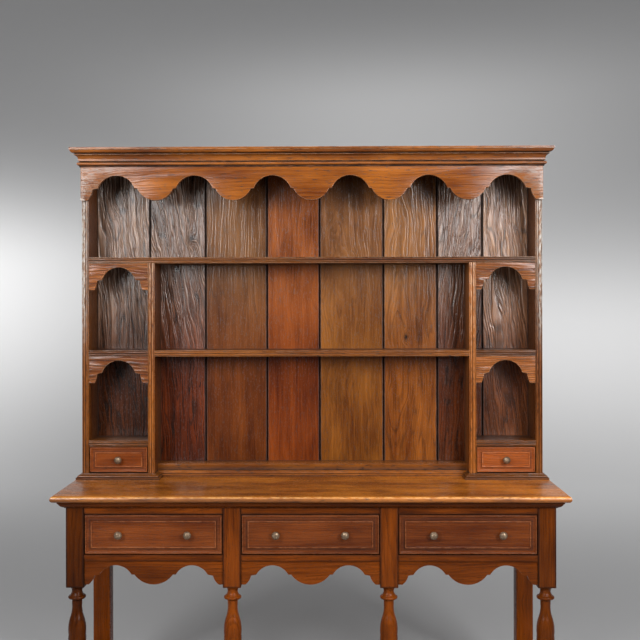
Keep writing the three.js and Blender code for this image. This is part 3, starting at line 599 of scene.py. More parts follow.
def copied(node):  # a CAD node's shape as whole faces, ready to be eased
    bm = bmesh.new()
    bm.from_mesh(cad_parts[node].data)
    bmesh.ops.remove_doubles(bm, verts=bm.verts, dist=2e-5)
    limits = {"angle_limit": math.radians(0.6), "use_dissolve_boundaries": False}
    bmesh.ops.dissolve_limit(bm, verts=bm.verts, edges=bm.edges, **limits)
    return bm


def grown(mesh, tree, values):  # a geometry tree's result on a mesh, as a plain mesh
    host = placed("host", mesh)
    modifier = host.modifiers.new("tree", "NODES")
    modifier.node_group = tree
    for item in tree.interface.items_tree:
        if item.item_type == "SOCKET" and item.in_out == "INPUT" and item.name in values:
            modifier[item.identifier] = values[item.name]
    host.update_tag()
    graph = bpy.context.evaluated_depsgraph_get()
    result = bpy.data.meshes.new_from_object(host.evaluated_get(graph))
    host.modifiers.clear()
    bpy.data.objects.remove(host)
    return result


def geometryTree(name, **inputs):  # named inputs with their kinds
    tree = bpy.data.node_groups.new(name, "GeometryNodeTree")
    for label, kind in {"Geometry": "Geometry", **inputs}.items():
        tree.interface.new_socket(label, in_out="INPUT", socket_type="NodeSocket" + kind)
    tree.interface.new_socket("Geometry", in_out="OUTPUT", socket_type="NodeSocketGeometry")
    graph = Graph(tree)
    entry = graph.node("NodeGroupInput").socket.node
    return tree, graph, {socket.name: Wire(graph, socket) for socket in entry.outputs if socket.name}


def closeTree(graph, geometry, material):
    real = graph.node("GeometryNodeRealizeInstances", {}, {0: geometry})
    made = graph.node("GeometryNodeSetMaterial", {}, {"Geometry": real, "Material": material})
    graph.node("NodeGroupOutput", {}, {0: made})


# Back boards: each its own plank, its early wood sunk by one tree. A tongue is (half its width, its front and
# its back) and the painted shadow under the frieze is (strength, start below the top, reach), in metres.
backBoards = {
    "seams": (0.1227, 0.2524, 0.3951, 0.5171, 0.6651, 0.7895, 0.894), "gap": 0.0045, "relief": 0.0016,
    "pitch": 0.0022, "rowPitch": 0.0066, "ease": 0.0018, "lip": 0.29, "fadeIn": 14, "grimeAndShade": 0.0022,
    "tongue": (0.004, 0.006, 0.0025), "rubbed": 0.2, "behind": 0.0005, "skin": 0.0005,
    "bare": (172, 136, 100), "bareFigure": (0.15, 0.3), "friezeShadow": (0.6, 0.055, 0.15), "apart": (0.37, 0.0, 1.7),
    "handled": (0.25, 0.75),
    # The grain's relief, swirl and contrast, the tree's heart (x, depth behind the face, lean), and the stain
    # high up and low down. On the outer boards the greyer stain high up is painted sheen.
    "planks": [
        ((1.0, 0.7, 0.9), (-1.05, 0.2, 0.14), (168, 142, 124), (92, 50, 22)),
        ((1.0, 0.6, 0.9), (-0.8, 0.2, 0.2), (142, 110, 88), (120, 56, 20)),
        ((0.12, 0.25, 0.3), (0.6, 0.1, 0.05), (126, 90, 54), (124, 68, 22)),
        ((0.1, 0.6, 0.2), (0.15, 0.06, 0.1), (160, 96, 46), (142, 72, 22)),
        ((0.12, 0.9, 0.3), (0.1, 0.03, 0.07), (140, 98, 58), (152, 98, 34)),
        ((0.15, 0.8, 0.45), (0.33, 0.02, 0.08), (156, 112, 66), (160, 98, 34)),
        ((0.8, 0.7, 0.8), (0.8, 0.15, 0.2), (122, 86, 60), (112, 58, 20)),
        ((1.0, 0.5, 0.8), (1.05, 0.2, -0.15), (190, 152, 122), (130, 80, 48)),
    ],
}


def reliefTree():
    inputs = {"Relief": "Float", "Swirl": "Float", "Front": "Float", "Shift": "Vector", "Heart": "Vector"}
    tree, graph, given = geometryTree("sunk_grain", **inputs, Material="Material")
    place = graph.node("GeometryNodeInputPosition")
    heart = graph.split(given["Heart"])
    rings, parts = ringField(graph, place, given["Shift"], "z", figures["bold"], given["Swirl"], heart)
    early = 1 - ringWave(graph, withKnots(graph, rings, place)[0], parts[0])
    nearFront = {0: graph.split(place)[1], 1: given["Front"] + backBoards["skin"]}
    onFace = graph.node("FunctionNodeCompare", {"operation": "LESS_THAN"}, nearFront)
    edge = graph.node("GeometryNodeInputNamedAttribute", {"data_type": "FLOAT"}, {"Name": "inward"})
    offset = graph.vector(0.0, early * given["Relief"] * edge, 0.0)
    values = {"Geometry": given["Geometry"], "Selection": onFace, "Offset": offset}
    closeTree(graph, graph.node("GeometryNodeSetPosition", {}, values), given["Material"])
    return tree


nails = {
    "size": (0.0038, 0.00045, 0.0036), "inset": 0.028, "up": 0.011,
    "into": ("rack_top_board", "rack_top_shelf", "rack_middle_shelf", "rack_ledge"),
}


def nailTree():  # a flattened head at each point, driven from behind
    tree, graph, given = geometryTree("nail_rows", Size="Vector", Material="Material")
    head = graph.node("GeometryNodeMeshUVSphere", {}, {"Segments": 14, "Rings": 8, "Radius": 1.0})
    spots = graph.node("GeometryNodeMeshToPoints", {}, {"Mesh": given["Geometry"]})
    values = {"Points": spots, "Instance": head, "Scale": given["Size"]}
    closeTree(graph, graph.node("GeometryNodeInstanceOnPoints", {}, values), given["Material"])
    return tree


def higher(share):  # 0 low on a back board, where hands and plates rubbed it smooth, 1 high up
    low, high = backBoards["handled"]
    share = min(1, max(0, (share - low) / (high - low)))
    return share * share * (3 - 2 * share)


def plankMesh(name, x0, x1, z0, z1, front, back):
    pitch, ease, rubbed = (backBoards[key] for key in ("pitch", "ease", "rubbed"))
    columns = max(6, round((x1 - x0) / pitch))
    rows = round((z1 - z0) / backBoards["rowPitch"])
    bm = bmesh.new()
    inward = bm.verts.layers.float.new("inward")
    edge = bm.verts.layers.float.new("edge")
    lip = backBoards["lip"] * ease
    lips = [(x0, ease), (x0 + lip, lip)]
    ring = [(x, front + sink) for x, sink in lips]
    ring += [(x0 + ease + (x1 - x0 - 2 * ease) * i / columns, front) for i in range(columns + 1)]
    ring += [(x0 + x1 - x, front + sink) for x, sink in reversed(lips)]
    ring += [(x1, back), (x0, back)]
    for level in loft(bm, [[(x, y, z0 + (z1 - z0) * j / rows) for x, y in ring] for j in range(rows + 1)]):
        for i, vert in enumerate(level):
            share = (i - len(lips)) / columns
            vert[inward] = min(1.0, max(0.0, backBoards["fadeIn"] * min(share, 1 - share)))
            vert[inward] *= rubbed + (1 - rubbed) * higher((vert.co.z - z0) / (z1 - z0))
            inset = min(vert.co.x - x0, x1 - vert.co.x) - ease
            # the board's sides darken towards each seam: dirt, and painted shade in the gap
            vert[edge] = -min(1.0, max(0.0, 1 - inset / backBoards["grimeAndShade"])) if i < len(level) - 2 else 0.0
    bmesh.ops.recalc_face_normals(bm, faces=bm.faces)
    return meshOf(name, bm)


def makeBackBoards():
    low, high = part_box("rack_back_boards")
    back = high.y - backBoards["behind"]
    rubbed, gap = backBoards["rubbed"], backBoards["gap"]
    friezeShadow, shadowStart, shadowReach = backBoards["friezeShadow"]
    bareRelief, bareContrast = backBoards["bareFigure"]
    edges = [low.x] + [low.x + (high.x - low.x) * share for share in backBoards["seams"]] + [high.x]
    tree = reliefTree()
    words = ("first", "second", "third", "fourth", "fifth", "sixth", "seventh", "eighth")
    for i, (word, plank) in enumerate(zip(words, backBoards["planks"])):
        x0 = edges[i] + (gap / 2 if i else 0)
        x1 = edges[i + 1] - (gap / 2 if i + 1 < len(words) else 0)
        name = f"back_board_{word}"
        (relief, swirl, contrast), heart, *stains = plank
        shift = [apart * i for apart in backBoards["apart"]]
        values = {
            "Relief": backBoards["relief"] * relief, "Swirl": swirl, "Front": low.y, "Shift": Vector(shift),
            "Heart": Vector(heart), "Material": wood("board", "z"),
        }
        mesh = grown(plankMesh(name, x0, x1, low.z, high.z, low.y, back), tree, values)
        upper, lower = (Vector(paint(*screen)) for screen in stains)
        stain, figure = [], []
        for vert in mesh.vertices:
            share = higher((vert.co.z - low.z) / (high.z - low.z))
            if vert.co.y > back - backBoards["skin"]:  # bare sawn wood behind
                stain += paint(*backBoards["bare"])
                figure += [bareRelief, swirl, bareContrast]
                continue
            # painted shadow under the frieze: the stain darkens towards the boards' top
            friezeShade = min(1.0, max(0.0, 1 - (high.z - shadowStart - vert.co.z) / shadowReach)) * friezeShadow
            # the stain blends from low to high; high up on the outer boards it holds painted sheen
            stain += [part * (1 - friezeShade) for part in lower.lerp(upper, share)]
            figure += [relief * (rubbed + (1 - rubbed) * share), swirl, contrast]
        marked(mesh, "boardStain", "FLOAT_COLOR", stain)
        marked(mesh, "boardFigure", "FLOAT_VECTOR", figure)
        marked(mesh, "boardHeart", "FLOAT_VECTOR", list(heart) * len(mesh.vertices))
        dressed(name, mesh, "board", "z", "rack_back_boards", shift=shift)
    half, deep, shallow = backBoards["tongue"]
    bm = bmesh.new()
    for x in edges[1:-1]:  # the tongues seen at the bottom of each seam
        block(bm, x - half, x + half, high.y - deep, high.y - shallow, low.z, high.z)
    layer = bm.verts.layers.float["edge"]
    for vert in bm.verts:  # the face darkened, dirt and painted shade down in the seam; clean wood behind
        vert[layer] = -1.0 if vert.co.y < high.y - (deep + shallow) / 2 else 0.0
    finishPiece("back_board_tongues", bm, "base", "z", "rack_back_boards", ease=0)
    spots = []
    for node in nails["into"]:
        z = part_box(node)[0].z + nails["up"]
        for a, b in zip(edges, edges[1:]):
            spots += [(x, back, z) for x in (a + nails["inset"], b - nails["inset"])]
    mesh = bpy.data.meshes.new("nail_spots")
    mesh.from_pydata(spots, [], [])
    mesh = grown(mesh, nailTree(), {"Size": Vector(nails["size"]), "Material": iron})
    dressed("back_board_nails", mesh, iron, "z", "rack_back_boards")


makeBackBoards()

reeds = {  # with how far each piece's crowns are painted pale, wear and painted highlight, and its tone
    "margin": 0.003, "depth": 0.0025, "steps": 8,
    "side": (1.0, -0.42), "upright": (1.3, -0.16), "shelf": (0.2, -0.55), "middle": (0.4, -0.36),
}
reededPieces = {
    "z": ("rack_left_side", "rack_right_side", "rack_left_upright", "rack_right_upright"),
    "x": (
        "rack_top_shelf", "rack_middle_shelf", "rack_left_upper_shelf", "rack_right_upper_shelf",
        "rack_left_lower_shelf", "rack_right_lower_shelf",
    ),
}


def reedOutline(thickness, depth, rub):  # the solids' two reeds along the front edge, with rounder backs
    middle, margin, sunk = thickness / 2, reeds["margin"], reeds["depth"]
    bulge = -sunk / (middle - margin)
    corners = [
        (0, 0), (margin, 0), (margin, sunk), (middle, sunk, bulge), (thickness - margin, sunk, bulge),
        # back corners darkened, dirt and painted shade down the inner faces
        (thickness - margin, 0), (thickness, 0), (thickness, depth, 0, -0.8), (0, depth, 0, -0.8),
    ]
    crown, half, shaded = (middle + margin) / 2, (middle - margin) / 2, []
    for u, v, edge in softened(traced(corners, reeds["steps"])):  # crowns pale, wear and painted highlight; hollows dark, dirt and painted shade
        if v <= sunk and abs(u - middle) <= middle - margin + 1e-6:
            away = min(abs(u - crown), abs(thickness - u - crown)) / half
            edge = rub - (rub + 1) * away ** 2
        shaded.append((u, v, edge))
    return shaded


def makeReededPieces():
    for along, nodes in reededPieces.items():
        for node in nodes:
            low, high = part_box(node)
            rub, tone = reeds["middle" if node == "rack_middle_shelf" else node.split("_")[-1]]
            size = high - low
            bm = bmesh.new()
            if along == "z":
                outline = [(low.x + u, low.y + v, edge) for u, v, edge in reedOutline(size.x, size.y, rub)]
                prism(bm, outline, "z", low.z, high.z)
            else:
                outline = [(low.y + v, low.z + u, edge) for u, v, edge in reedOutline(size.z, size.y, rub)]
                prism(bm, outline, "x", low.x, high.x)
            finishPiece(node + "_wood", bm, "rack", along, node, ease=0, tone=tone)


makeReededPieces()

frieze = {
    "arches": 6, "crown": 0.0315, "cusp": 0.079, "drop": 0.123, "pendant": 0.132, "foot": 0, "lobe": 0.020,
    "endStep": 0.018, "step": 0.010, "steps": 22, "ease": 0.0014, "tone": -0.04,
}
smallArch = {
    "arches": 1, "crown": 0.015, "cusp": 0.061, "drop": 0.0995, "foot": 0.020, "lobe": 0.010,
    "endStep": 0.018, "steps": 24, "ease": 0.0012, "tone": 0.0,
}


def scallopedBoard(name, node, kind, edge, size):  # edge runs under the board, left to right
    low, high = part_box(node)
    bm = bmesh.new()
    prism(bm, traced(edge + [(high.x, high.z), (low.x, high.z)], size["steps"]), "y", low.y, high.y)
    finishPiece(name, bm, kind, "x", node, ease=size["ease"], tone=size["tone"])


def makeScallops():
    low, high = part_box("rack_frieze")
    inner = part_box("rack_left_side")[1].x
    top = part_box("rack_cornice")[0].z
    edge = [(low.x, -frieze["drop"]), *scallopEdge(inner, -inner, frieze)[1:-1], (high.x, -frieze["drop"])]
    scallopedBoard("frieze_board", "rack_frieze", "rack", raised(edge, top), frieze)
    for hand in ("left", "right"):
        for level in ("upper", "lower"):
            node = f"rack_{hand}_{level}_arch"
            low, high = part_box(node)
            edge = raised(scallopEdge(low.x, high.x, smallArch), high.z)
            scallopedBoard(node + "_board", node, "raised", edge, smallArch)


makeScallops()

corniceSection = [  # from the frieze up: bead, cove, ovolo and fillet, with quirks between them darkened, dirt and painted shade
    (0, 0, 0, -1), (0.1, 0, 0, -1), (0.1, 0.06, 0, -1), (0.2, 0.08, 0, -0.9), (0.2, 0.24, -0.4, -0.9),
    (0.08, 0.26, 0, -1), (0.08, 0.31, 0, -1), (0.2, 0.32), (0.2, 0.35), (0.56, 0.63, 0.18), (0.6, 0.63),
    (0.6, 0.65), (0.46, 0.66, 0, -1), (0.46, 0.705, 0, -1), (0.64, 0.715), (0.93, 0.85, -0.16),
    (0.935, 0.865), (1, 0.875), (1, 1), (0, 1),
]
# The plinth's hollows darkened, dirt and painted shade; its crowns rubbed pale
plinthEdge = [
    (1, 0, 0, -1), (1, 0.1, 0, -0.6), (1, 0.3, 0, 0.8), (0.9, 0.34, 0, 0.7), (0.76, 0.36, 0, -1),
    (0.76, 0.42, 0, -1), (0.5, 0.7, -0.25, 0.2), (0.4, 0.74, 0, 0.9), (0.26, 0.77, 0, -0.6),
    (0.16, 1, 0.2, -1),
]
# The under-moulding's hollows and the line under the nosing darkened, dirt and painted shade
underSection = [
    (0, 0, 0, -1), (0.16, 0, 0, -1), (0.24, 0.1, 0, 0.1), (0.86, 0.66, -0.12, -0.1), (0.93, 0.69, 0, -1),
    (1, 0.72, 0, 0.4), (1, 0.82), (1, 1, 0, -1), (0, 1),
]
ledge = {"round": 0.004, "clean": 0.02}
mouldingTones = {"cornice": -0.26, "plinth": -0.5, "centre": -0.15, "ledge": -0.42, "under": -0.3}
fit = 0.0003  # between pieces that meet


def wrapMoulding(name, node, section, kind, inner, tone):  # round the front and both ends of what it lies on
    low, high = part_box(node)
    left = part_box(inner)[0].x
    out = left - low.x
    path = [(left, high.y), (left, low.y + out), (-left, low.y + out), (-left, high.y)]
    bm = bmesh.new()
    mouldingRun(bm, path, softened(traced(sized(section, out, high.z - low.z))), low.z)
    finishPiece(name, bm, kind, "x", node, ease=0, tone=mouldingTones[tone])


def makeMouldings():
    wrapMoulding("cornice_moulding", "rack_cornice", corniceSection, "rack", "rack_top_board", "cornice")
    side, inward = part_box("rack_left_side")[0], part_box("rack_left_upright")[1].x
    centreLow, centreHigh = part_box("rack_centre_plinth")
    for sign, hand in ((-1, "left"), (1, "right")):
        node = f"rack_{hand}_plinth"
        low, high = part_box(node)
        out = abs(high.x - low.x - (inward - side.x)) / 2
        stop = centreLow.y - fit
        rings = []
        line = softened(traced(sized(plinthEdge, out, high.z - low.z)), closed=False)
        for reach, z, edge in line:
            front = side.y - reach
            ring = [
                (side.x - reach, high.y), (side.x - reach, front), (inward + reach, front),
                (inward + reach, stop), (inward, stop), (inward, high.y),
            ]
            rings.append([(-sign * x, y, low.z + z) for x, y in ring])
        bm = bmesh.new()
        loft(bm, rings, ringEdges=[point[2] for point in line])
        finishPiece(f"{hand}_plinth_moulding", bm, "rack", "x", node, ease=0, tone=mouldingTones["plinth"])

    low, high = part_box("rack_ledge")
    line = traced(sized(plinthEdge, low.y - centreLow.y, centreHigh.z - centreLow.z))
    section = [(low.y - reach, centreLow.z + z, *edge) for reach, z, *edge in line]
    section += [(centreHigh.y, centreHigh.z), (centreHigh.y, centreLow.z)]
    bm = bmesh.new()
    prism(bm, softened(section, 0.0006), "x", centreLow.x, centreHigh.x)
    tone = mouldingTones["centre"]
    finishPiece("centre_plinth_moulding", bm, "rack", "x", "rack_centre_plinth", ease=0, tone=tone)
    corner = ledge["round"]
    # the ledge: a painted highlight along its top round; its foot and back corner darkened, dirt and painted
    # shade
    section = [
        (high.y, low.z), (low.y, low.z, 0, -1), (low.y, low.z + corner, 0, -0.6),
        (low.y, high.z - corner, 0, 0.3), (low.y + corner, high.z, 0.2071, 1.8),
        (high.y - ledge["clean"], high.z), (high.y, high.z, 0, -1),
    ]
    bm = bmesh.new()
    prism(bm, softened(traced(section)), "x", low.x, high.x)
    finishPiece("ledge_board", bm, "rack", "x", "rack_ledge", ease=0, tone=mouldingTones["ledge"])
    finishPiece("rack_top_wood", copied("rack_top_board"), "rack", "x", "rack_top_board")


makeMouldings()
print("rack made")

# Drawer fronts: the outer rim darkened, dirt and painted shade in the gap; a painted highlight on the field's
# rim
frontProfile = [
    (0, 0.9, 0, -1), (0.07, 0.4, 0, -1), (0.12, 0, -0.2, 0.5), (0.2, 0, 0, 0.25), (0.25, 0.7, -0.2, -0.1),
    (0.44, 1, 0.1, -0.25), (0.66, 0.95, 0, -0.5), (0.69, 0.2), (0.75, 0, -0.2, 0.9), (0.85, 0.05, 0, 0.2),
    (0.92, 0.4, -0.1, -0.4), (0.96, 0.4), (1, 0.4),
]
knobProfile = [
    (0.66, 0), (0.66, 0.07), (0.4, 0.14, 0.2), (0.36, 0.42), (0.9, 0.58, 0.12), (0.94, 0.74, -0.2),
    (0.3, 1, -0.12), (0.02, 1.0),
]
drawerFronts = {
    "reliefDepth": 0.005, "borders": {"spice": 0.028, "base": 0.030}, "steps": 6, "round": 0.0007,
    "knobRadius": 0.014, "knobLength": 0.026, "knobSides": 40, "knobSteps": 7,
    "tones": {"left": -0.13, "right": 0.08}, "baseTone": -0.4, "eases": {"spice": 0.0008, "base": 0.001},
}


def turnedTree():
    tree, graph, given = geometryTree("turned_piece", Sides="Int", Material="Material")
    line = graph.node("GeometryNodeMeshToCurve", {}, {"Mesh": given["Geometry"]})
    circle = graph.node("GeometryNodeCurvePrimitiveCircle", {}, {"Resolution": given["Sides"], "Radius": 1.0})
    radius = graph.node("GeometryNodeInputNamedAttribute", {"data_type": "FLOAT"}, {"Name": "turnRadius"})
    values = {"Curve": line, "Profile Curve": circle, "Scale": radius, "Fill Caps": True}
    closeTree(graph, graph.node("GeometryNodeCurveToMesh", {}, values), given["Material"])
    return tree


turning = turnedTree()


def turned(profile, start, way, sides, material):  # (radius, reach) profile swept along a way from start
    points = [profile[0]]
    for radius, reach in profile[1:]:  # a step square to the axis becomes a hair-fine slope
        points.append((radius, max(reach, points[-1][1] + 2e-5)))
    mesh = bpy.data.meshes.new("turning")
    start, way = Vector(start), Vector(way)
    places = [start + way * reach for radius, reach in points]
    mesh.from_pydata(places, [(i, i + 1) for i in range(len(points) - 1)], [])
    marked(mesh, "turnRadius", "FLOAT", [radius for radius, reach in points])
    bm = bmesh.new()
    bm.from_mesh(grown(mesh, turning, {"Sides": sides, "Material": material}))
    return bm


def fieldedFront(name, kind, body, tone):
    node = f"{body}_front"
    low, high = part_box(node)
    shares = sized(frontProfile, drawerFronts["borders"][kind], drawerFronts["reliefDepth"])
    profile = [(0, high.y - low.y), *traced(shares, drawerFronts["steps"])]
    profile = softened(profile, drawerFronts["round"], closed=False)
    rings = []
    for inset, recess, edge in profile:
        x0, x1, z0, z1 = low.x + inset, high.x - inset, low.z + inset, high.z - inset
        rings.append([(x, low.y + recess, z) for x, z in ((x0, z0), (x1, z0), (x1, z1), (x0, z1))])
    bm = bmesh.new()
    loft(bm, rings, ringEdges=[point[2] for point in profile])
    finishPiece(name, bm, "front", "x", node, body, ease=0, tone=tone)


def makeKnob(name, node, body):
    low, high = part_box(node)
    shares = sized(knobProfile, drawerFronts["knobRadius"], drawerFronts["knobLength"])
    start = ((low.x + high.x) / 2, high.y, (low.z + high.z) / 2)
    profile = traced(shares, drawerFronts["knobSteps"])
    bm = turned(profile, start, (0, -1, 0), drawerFronts["knobSides"], brass)
    finishPiece(name, bm, brass, None, node, body, ease=0)


def makeDrawer(hand, kind, body, tone, knobs):
    fieldedFront(f"{hand}_{kind}_front", kind, body, tone)
    ease = drawerFronts["eases"][kind]
    finishPiece(f"{hand}_{kind}_box", copied(f"{body}_box"), "inside", "y", f"{body}_box", body, ease=ease)
    for name, node in knobs:
        makeKnob(name, node, body)


def makeDrawers():
    for hand, tone in drawerFronts["tones"].items():
        knobs = [(f"{hand}_spice_pull", f"{hand}_spice_knob")]
        makeDrawer(hand, "spice", f"{hand}_spice_drawer", tone, knobs)
    for hand in ("left", "centre", "right"):
        body = f"{hand}_drawer"
        knobs = [(f"{body}_{end}_pull", f"{body}_{end}_knob") for end in ("left", "right")]
        makeDrawer(hand, "base", body, drawerFronts["baseTone"], knobs)


makeDrawers()
print("drawers made")

topBoard = {
    "cuts": 160, "steps": 16, "uneven": 0.0007, "waves": (9.1, 23.7, 1.3), "reach": 0.03, "lighterToRight": 0.56,
    "dirtAndShade": -0.35, "dirtAndShadeBelow": 0.2, "paleBandAt": 0.7, "paleBandOver": 0.5, "cleanAbove": 1.1,
}
legProfile = [
    (0.9, 0), (0.62, 0.045, 0.15), (0.78, 0.075), (0.78, 0.115, -0.5), (0.6, 0.135), (0.56, 0.2),
    (0.8, 0.31, 0.08), (0.95, 0.44, -0.07), (0.7, 0.66, -0.06), (0.56, 0.8, 0.05), (0.56, 0.84),
    (0.78, 0.855), (0.78, 0.895, -0.5), (0.62, 0.92), (0.9, 1, 0.2),
]
footProfile = [(0.62, 0), (0.9, 0.45, -0.15), (0.62, 0.8, -0.15), (0.6, 0.88), (0.9, 1, 0.2)]
legs = {
    "size": 0.062, "foot": 0.080, "lowerBlock": 0.110, "belowApron": 0.010, "seat": 0.006, "sides": 48,
    "steps": 9, "ease": 0.0022, "dirtAndShade": -0.8, "backEase": 0.0015,
    "tones": {"left": -0.55, "mid_left": 0.12, "mid_right": 0.05, "right": -0.36},
}
apron = {
    "arches": 2, "crown": 0.014, "cusp": 0.046, "drop": 0.080, "foot": 0.014, "lobe": 0.020, "step": 0.010,
    "endStep": 0.018, "pendant": 0.132, "steps": 20, "ease": 0.0014,
}
rails = {"ease": 0.0018, "dirtAndShade": -0.5}


def noseEdge(angle):  # the nosing's edge value at an angle above its middle: dark below, dirt and painted shade; a pale band, wear and painted highlight; clean on top
    if angle <= topBoard["dirtAndShadeBelow"]:
        return topBoard["dirtAndShade"]
    rubbed = 1 - abs(angle - topBoard["paleBandAt"]) / topBoard["paleBandOver"]
    return rubbed if angle < topBoard["cleanAbove"] else 0.0


def makeTopBoard():
    low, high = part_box("base_top_board")
    radius = (high.z - low.z) / 2
    half, cuts = high.x - radius, topBoard["cuts"]
    angles = [math.pi * (i / topBoard["steps"] - 0.5) for i in range(topBoard["steps"] + 1)]
    rings = []
    for angle in angles:
        out, z = radius * math.cos(angle), low.z + radius * (1 + math.sin(angle))
        ring = [(half + out - 2 * (half + out) * j / cuts, low.y + radius - out, z) for j in range(cuts + 1)]
        rings.append(ring + [(-half - out, high.y, z), (half + out, high.y, z)])
    bm = bmesh.new()
    loft(bm, rings, ringEdges=[noseEdge(angle) for angle in angles])
    slow, quick, start = topBoard["waves"]
    for vert in bm.verts:  # a nosing that hands and cloths have worn a little unevenly
        share = max(0, 1 - (vert.co.y - low.y) / topBoard["reach"])
        dip = 0.5 + 0.5 * math.sin(vert.co.x * slow) * math.sin(vert.co.x * quick + start)
        vert.co.y += topBoard["uneven"] * share * dip
    top = finishPiece("top_board", bm, "top", "x", "base_top_board", ease=0)
    for vert, tone in zip(top.data.vertices, top.data.attributes["tone"].data):  # lighter towards the right
        tone.value += topBoard["lighterToRight"] * max(0.0, vert.co.x)
    wrapMoulding("under_moulding", "base_top_moulding", underSection, "base", "base_front_leg_left", "under")


makeTopBoard()


def makeLegs():
    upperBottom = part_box("base_apron")[0].z - legs["belowApron"]
    lowerTop = legs["foot"] + legs["lowerBlock"]
    half, seat, sides = legs["size"] / 2, legs["seat"], legs["sides"]
    for word, tone in legs["tones"].items():
        node = f"base_front_leg_{word}"
        low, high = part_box(node)
        x0, x1, y0, y1 = low.x, high.x, low.y, low.y + legs["size"]
        middle = ((x0 + x1) / 2, (y0 + y1) / 2)
        bm = bmesh.new()
        block(bm, x0, x1, y0, y1, upperBottom, high.z)
        block(bm, x0, x1, y0, y1, legs["foot"], lowerTop)
        finishPiece(f"{node}_blocks", bm, "base", "z", node, ease=legs["ease"], tone=tone, rub=legs["dirtAndShade"])
        shaft = traced(sized(legProfile, half, upperBottom - lowerTop), legs["steps"])
        shaft = [(shaft[0][0], -seat), *shaft, (shaft[-1][0], upperBottom - lowerTop + seat)]
        foot = traced(sized(footProfile, half, legs["foot"]), legs["steps"])
        foot += [(foot[-1][0], legs["foot"] + seat)]
        bm = turned(shaft, (*middle, lowerTop), (0, 0, 1), sides, wood("base", "z"))
        bm.from_mesh(meshOf("foot", turned(foot, (*middle, 0), (0, 0, 1), sides, wood("base", "z"))))
        finishPiece(f"{node}_turning", bm, "base", "z", node, ease=0, tone=tone)
    for word in ("left", "right"):
        node = f"base_back_leg_{word}"
        finishPiece(f"{node}_wood", copied(node), "base", "z", node, ease=legs["backEase"])


def makeRails():
    edges = [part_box(f"base_front_leg_{word}") for word in legs["tones"]]
    spans = [(a[1].x + fit, b[0].x - fit) for a, b in zip(edges, edges[1:])]
    for node in ("base_top_rail", "base_drawer_rail", "potboard_front_rail"):
        low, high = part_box(node)
        bm = bmesh.new()
        for x0, x1 in spans:
            block(bm, x0, x1, low.y, high.y, low.z, high.z)
        finishPiece(f"{node}_wood", bm, "base", "x", node, ease=rails["ease"], rub=rails["dirtAndShade"])
    low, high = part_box("base_apron")
    bm = bmesh.new()
    for x0, x1 in spans:
        corners = raised(scallopEdge(x0, x1, apron), high.z) + [(x1, high.z), (x0, high.z)]
        prism(bm, traced(corners, apron["steps"]), "y", low.y, high.y)
    finishPiece("apron_board", bm, "base", "x", "base_apron", ease=apron["ease"])
    for node, along in (
        ("base_left_end_panel", "z"), ("base_right_end_panel", "z"), ("base_back_panel", "x"),
        ("potboard", "x"), ("potboard_left_rail", "y"), ("potboard_right_rail", "y"),
        ("potboard_back_rail", "x"),
    ):
        finishPiece(f"{node}_wood", copied(node), "base", along, node)
    finishPiece("runner_frame_wood", copied("base_runner_frame"), "inside", "y", "base_runner_frame")


makeLegs()
makeRails()
print("base made")

# A round studio: floor, cove and wall in one skin. Base is a faint glow painted on the wall all round, and
# each pool is a painted pool of light glowing on the wall behind the dresser: (strength, x, z, spread up,
# spread down, spread sideways).
studio = {
    "radius": 6.6, "bend": 1.6, "height": 6.0, "steps": 96, "bendSteps": 16, "floorSteps": 8, "base": 0.015,
    "paper": (0.5, 0.5, 0.505, 1), "baseRise": (0.1, 1.4), "wallOnly": (0.5, 4.5),
    "pools": [
        (0.8, -3.95, 1.75, 0.75, 1.7, 1.95), (0.48, 2.55, 1.1, 0.95, 1.35, 3.2),
        (0.22, 0.7, 3.45, 0.65, 1.6, 2.4),
    ],
}


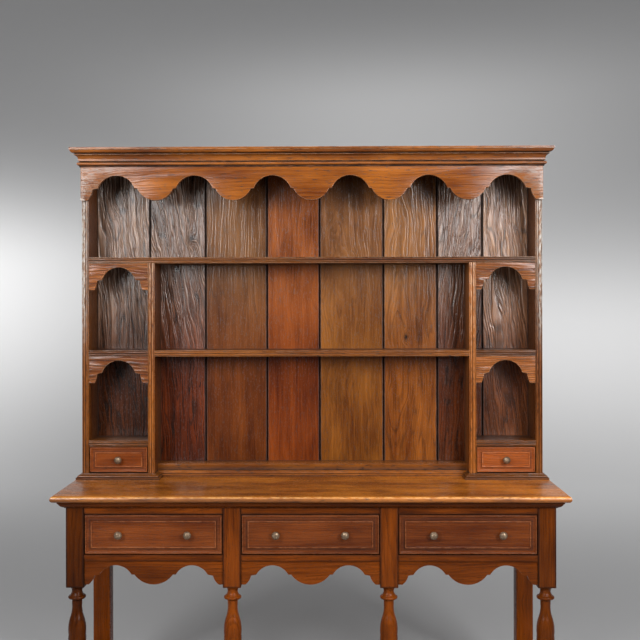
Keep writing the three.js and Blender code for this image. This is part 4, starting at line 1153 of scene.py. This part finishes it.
def makeStudio():
    radius, bend, steps = studio["radius"], studio["bend"], studio["steps"]
    line = [(radius * i / studio["floorSteps"], 0) for i in range(1, studio["floorSteps"] - 1)]
    for i in range(studio["bendSteps"] + 1):
        angle = math.pi / 2 * i / studio["bendSteps"]
        line.append((radius - bend + bend * math.sin(angle), bend * (1 - math.cos(angle))))
    line.append((radius, studio["height"]))
    turns = [2 * math.pi * i / steps for i in range(steps)]
    ways = [(math.sin(turn), math.cos(turn)) for turn in turns]
    bm = bmesh.new()
    rings = [[bm.verts.new((out * x, out * y, z)) for x, y in ways] for out, z in line]
    middle = bm.verts.new((0, 0, 0))
    for i in range(steps):
        j = (i + 1) % steps
        bm.faces.new((middle, rings[0][j], rings[0][i]))
        for a, b in zip(rings, rings[1:]):
            bm.faces.new((a[i], a[j], b[j], b[i]))
    mesh = meshOf("studio_paper", bm)
    mesh.polygons.foreach_set("use_smooth", [True] * len(mesh.polygons))
    material, graph = newMaterial("paper")
    x, y, z = graph.split(graph.node("ShaderNodeTexCoord", outlet="Object"))
    glow = graph.between(z, *studio["baseRise"]) * studio["base"]
    for strength, poolX, poolZ, up, down, aside in studio["pools"]:
        above = graph.sum("MAXIMUM", z - poolZ, 0.0) / up
        below = graph.sum("MAXIMUM", poolZ - z, 0.0) / down
        away = above ** 2 + below ** 2 + ((x - poolX) / aside) ** 2
        glow = glow + graph.sum("EXPONENT", away * -1.0) * strength * graph.between(y, *studio["wallOnly"])
    closeMaterial(graph, {
        "Base Color": studio["paper"], "Roughness": 0.9, "Specular IOR Level": 0.1,
        "Emission Color": graph.vector(glow, glow, glow), "Emission Strength": 1.0,
    })
    mesh.materials.append(material)
    placed("studio_paper", mesh)


makeStudio()

# Each lamp: where it stands, what it looks at, its size and its power
lamps = {
    "left_softbox": ((-1.95, -2.9, 2.35), (-0.2, 0.1, 1.5), (1.2, 1.5), 92),
    "right_softbox": ((2.0, -2.9, 2.35), (0.2, 0.1, 1.5), (1.2, 1.5), 112),
    "top_softbox": ((0.0, -2.0, 3.4), (0.0, 0.0, 1.2), (3.0, 0.8), 40),
    "rear_softbox": ((0.6, 4.2, 4.9), (0.0, 0.3, 1.2), (2.6, 1.2), 45),
}
room = {"colour": (0.9, 0.95, 1, 1), "strength": 0.03}


def makeLamps():
    for name, (place, aim, size, power) in lamps.items():
        data = bpy.data.lights.new(name, "AREA")
        data.shape = "RECTANGLE"
        data.size, data.size_y = size
        data.energy = power
        light = placed(name, data)
        light.location = place
        light.rotation_euler = (Vector(aim) - Vector(place)).to_track_quat("-Z", "Y").to_euler()
    world = bpy.data.worlds.new("room")
    world.use_nodes = True
    bpy.context.scene.world = world
    background = world.node_tree.nodes["Background"]
    background.inputs["Color"].default_value = room["colour"]
    background.inputs["Strength"].default_value = room["strength"]


makeLamps()
print("studio made")
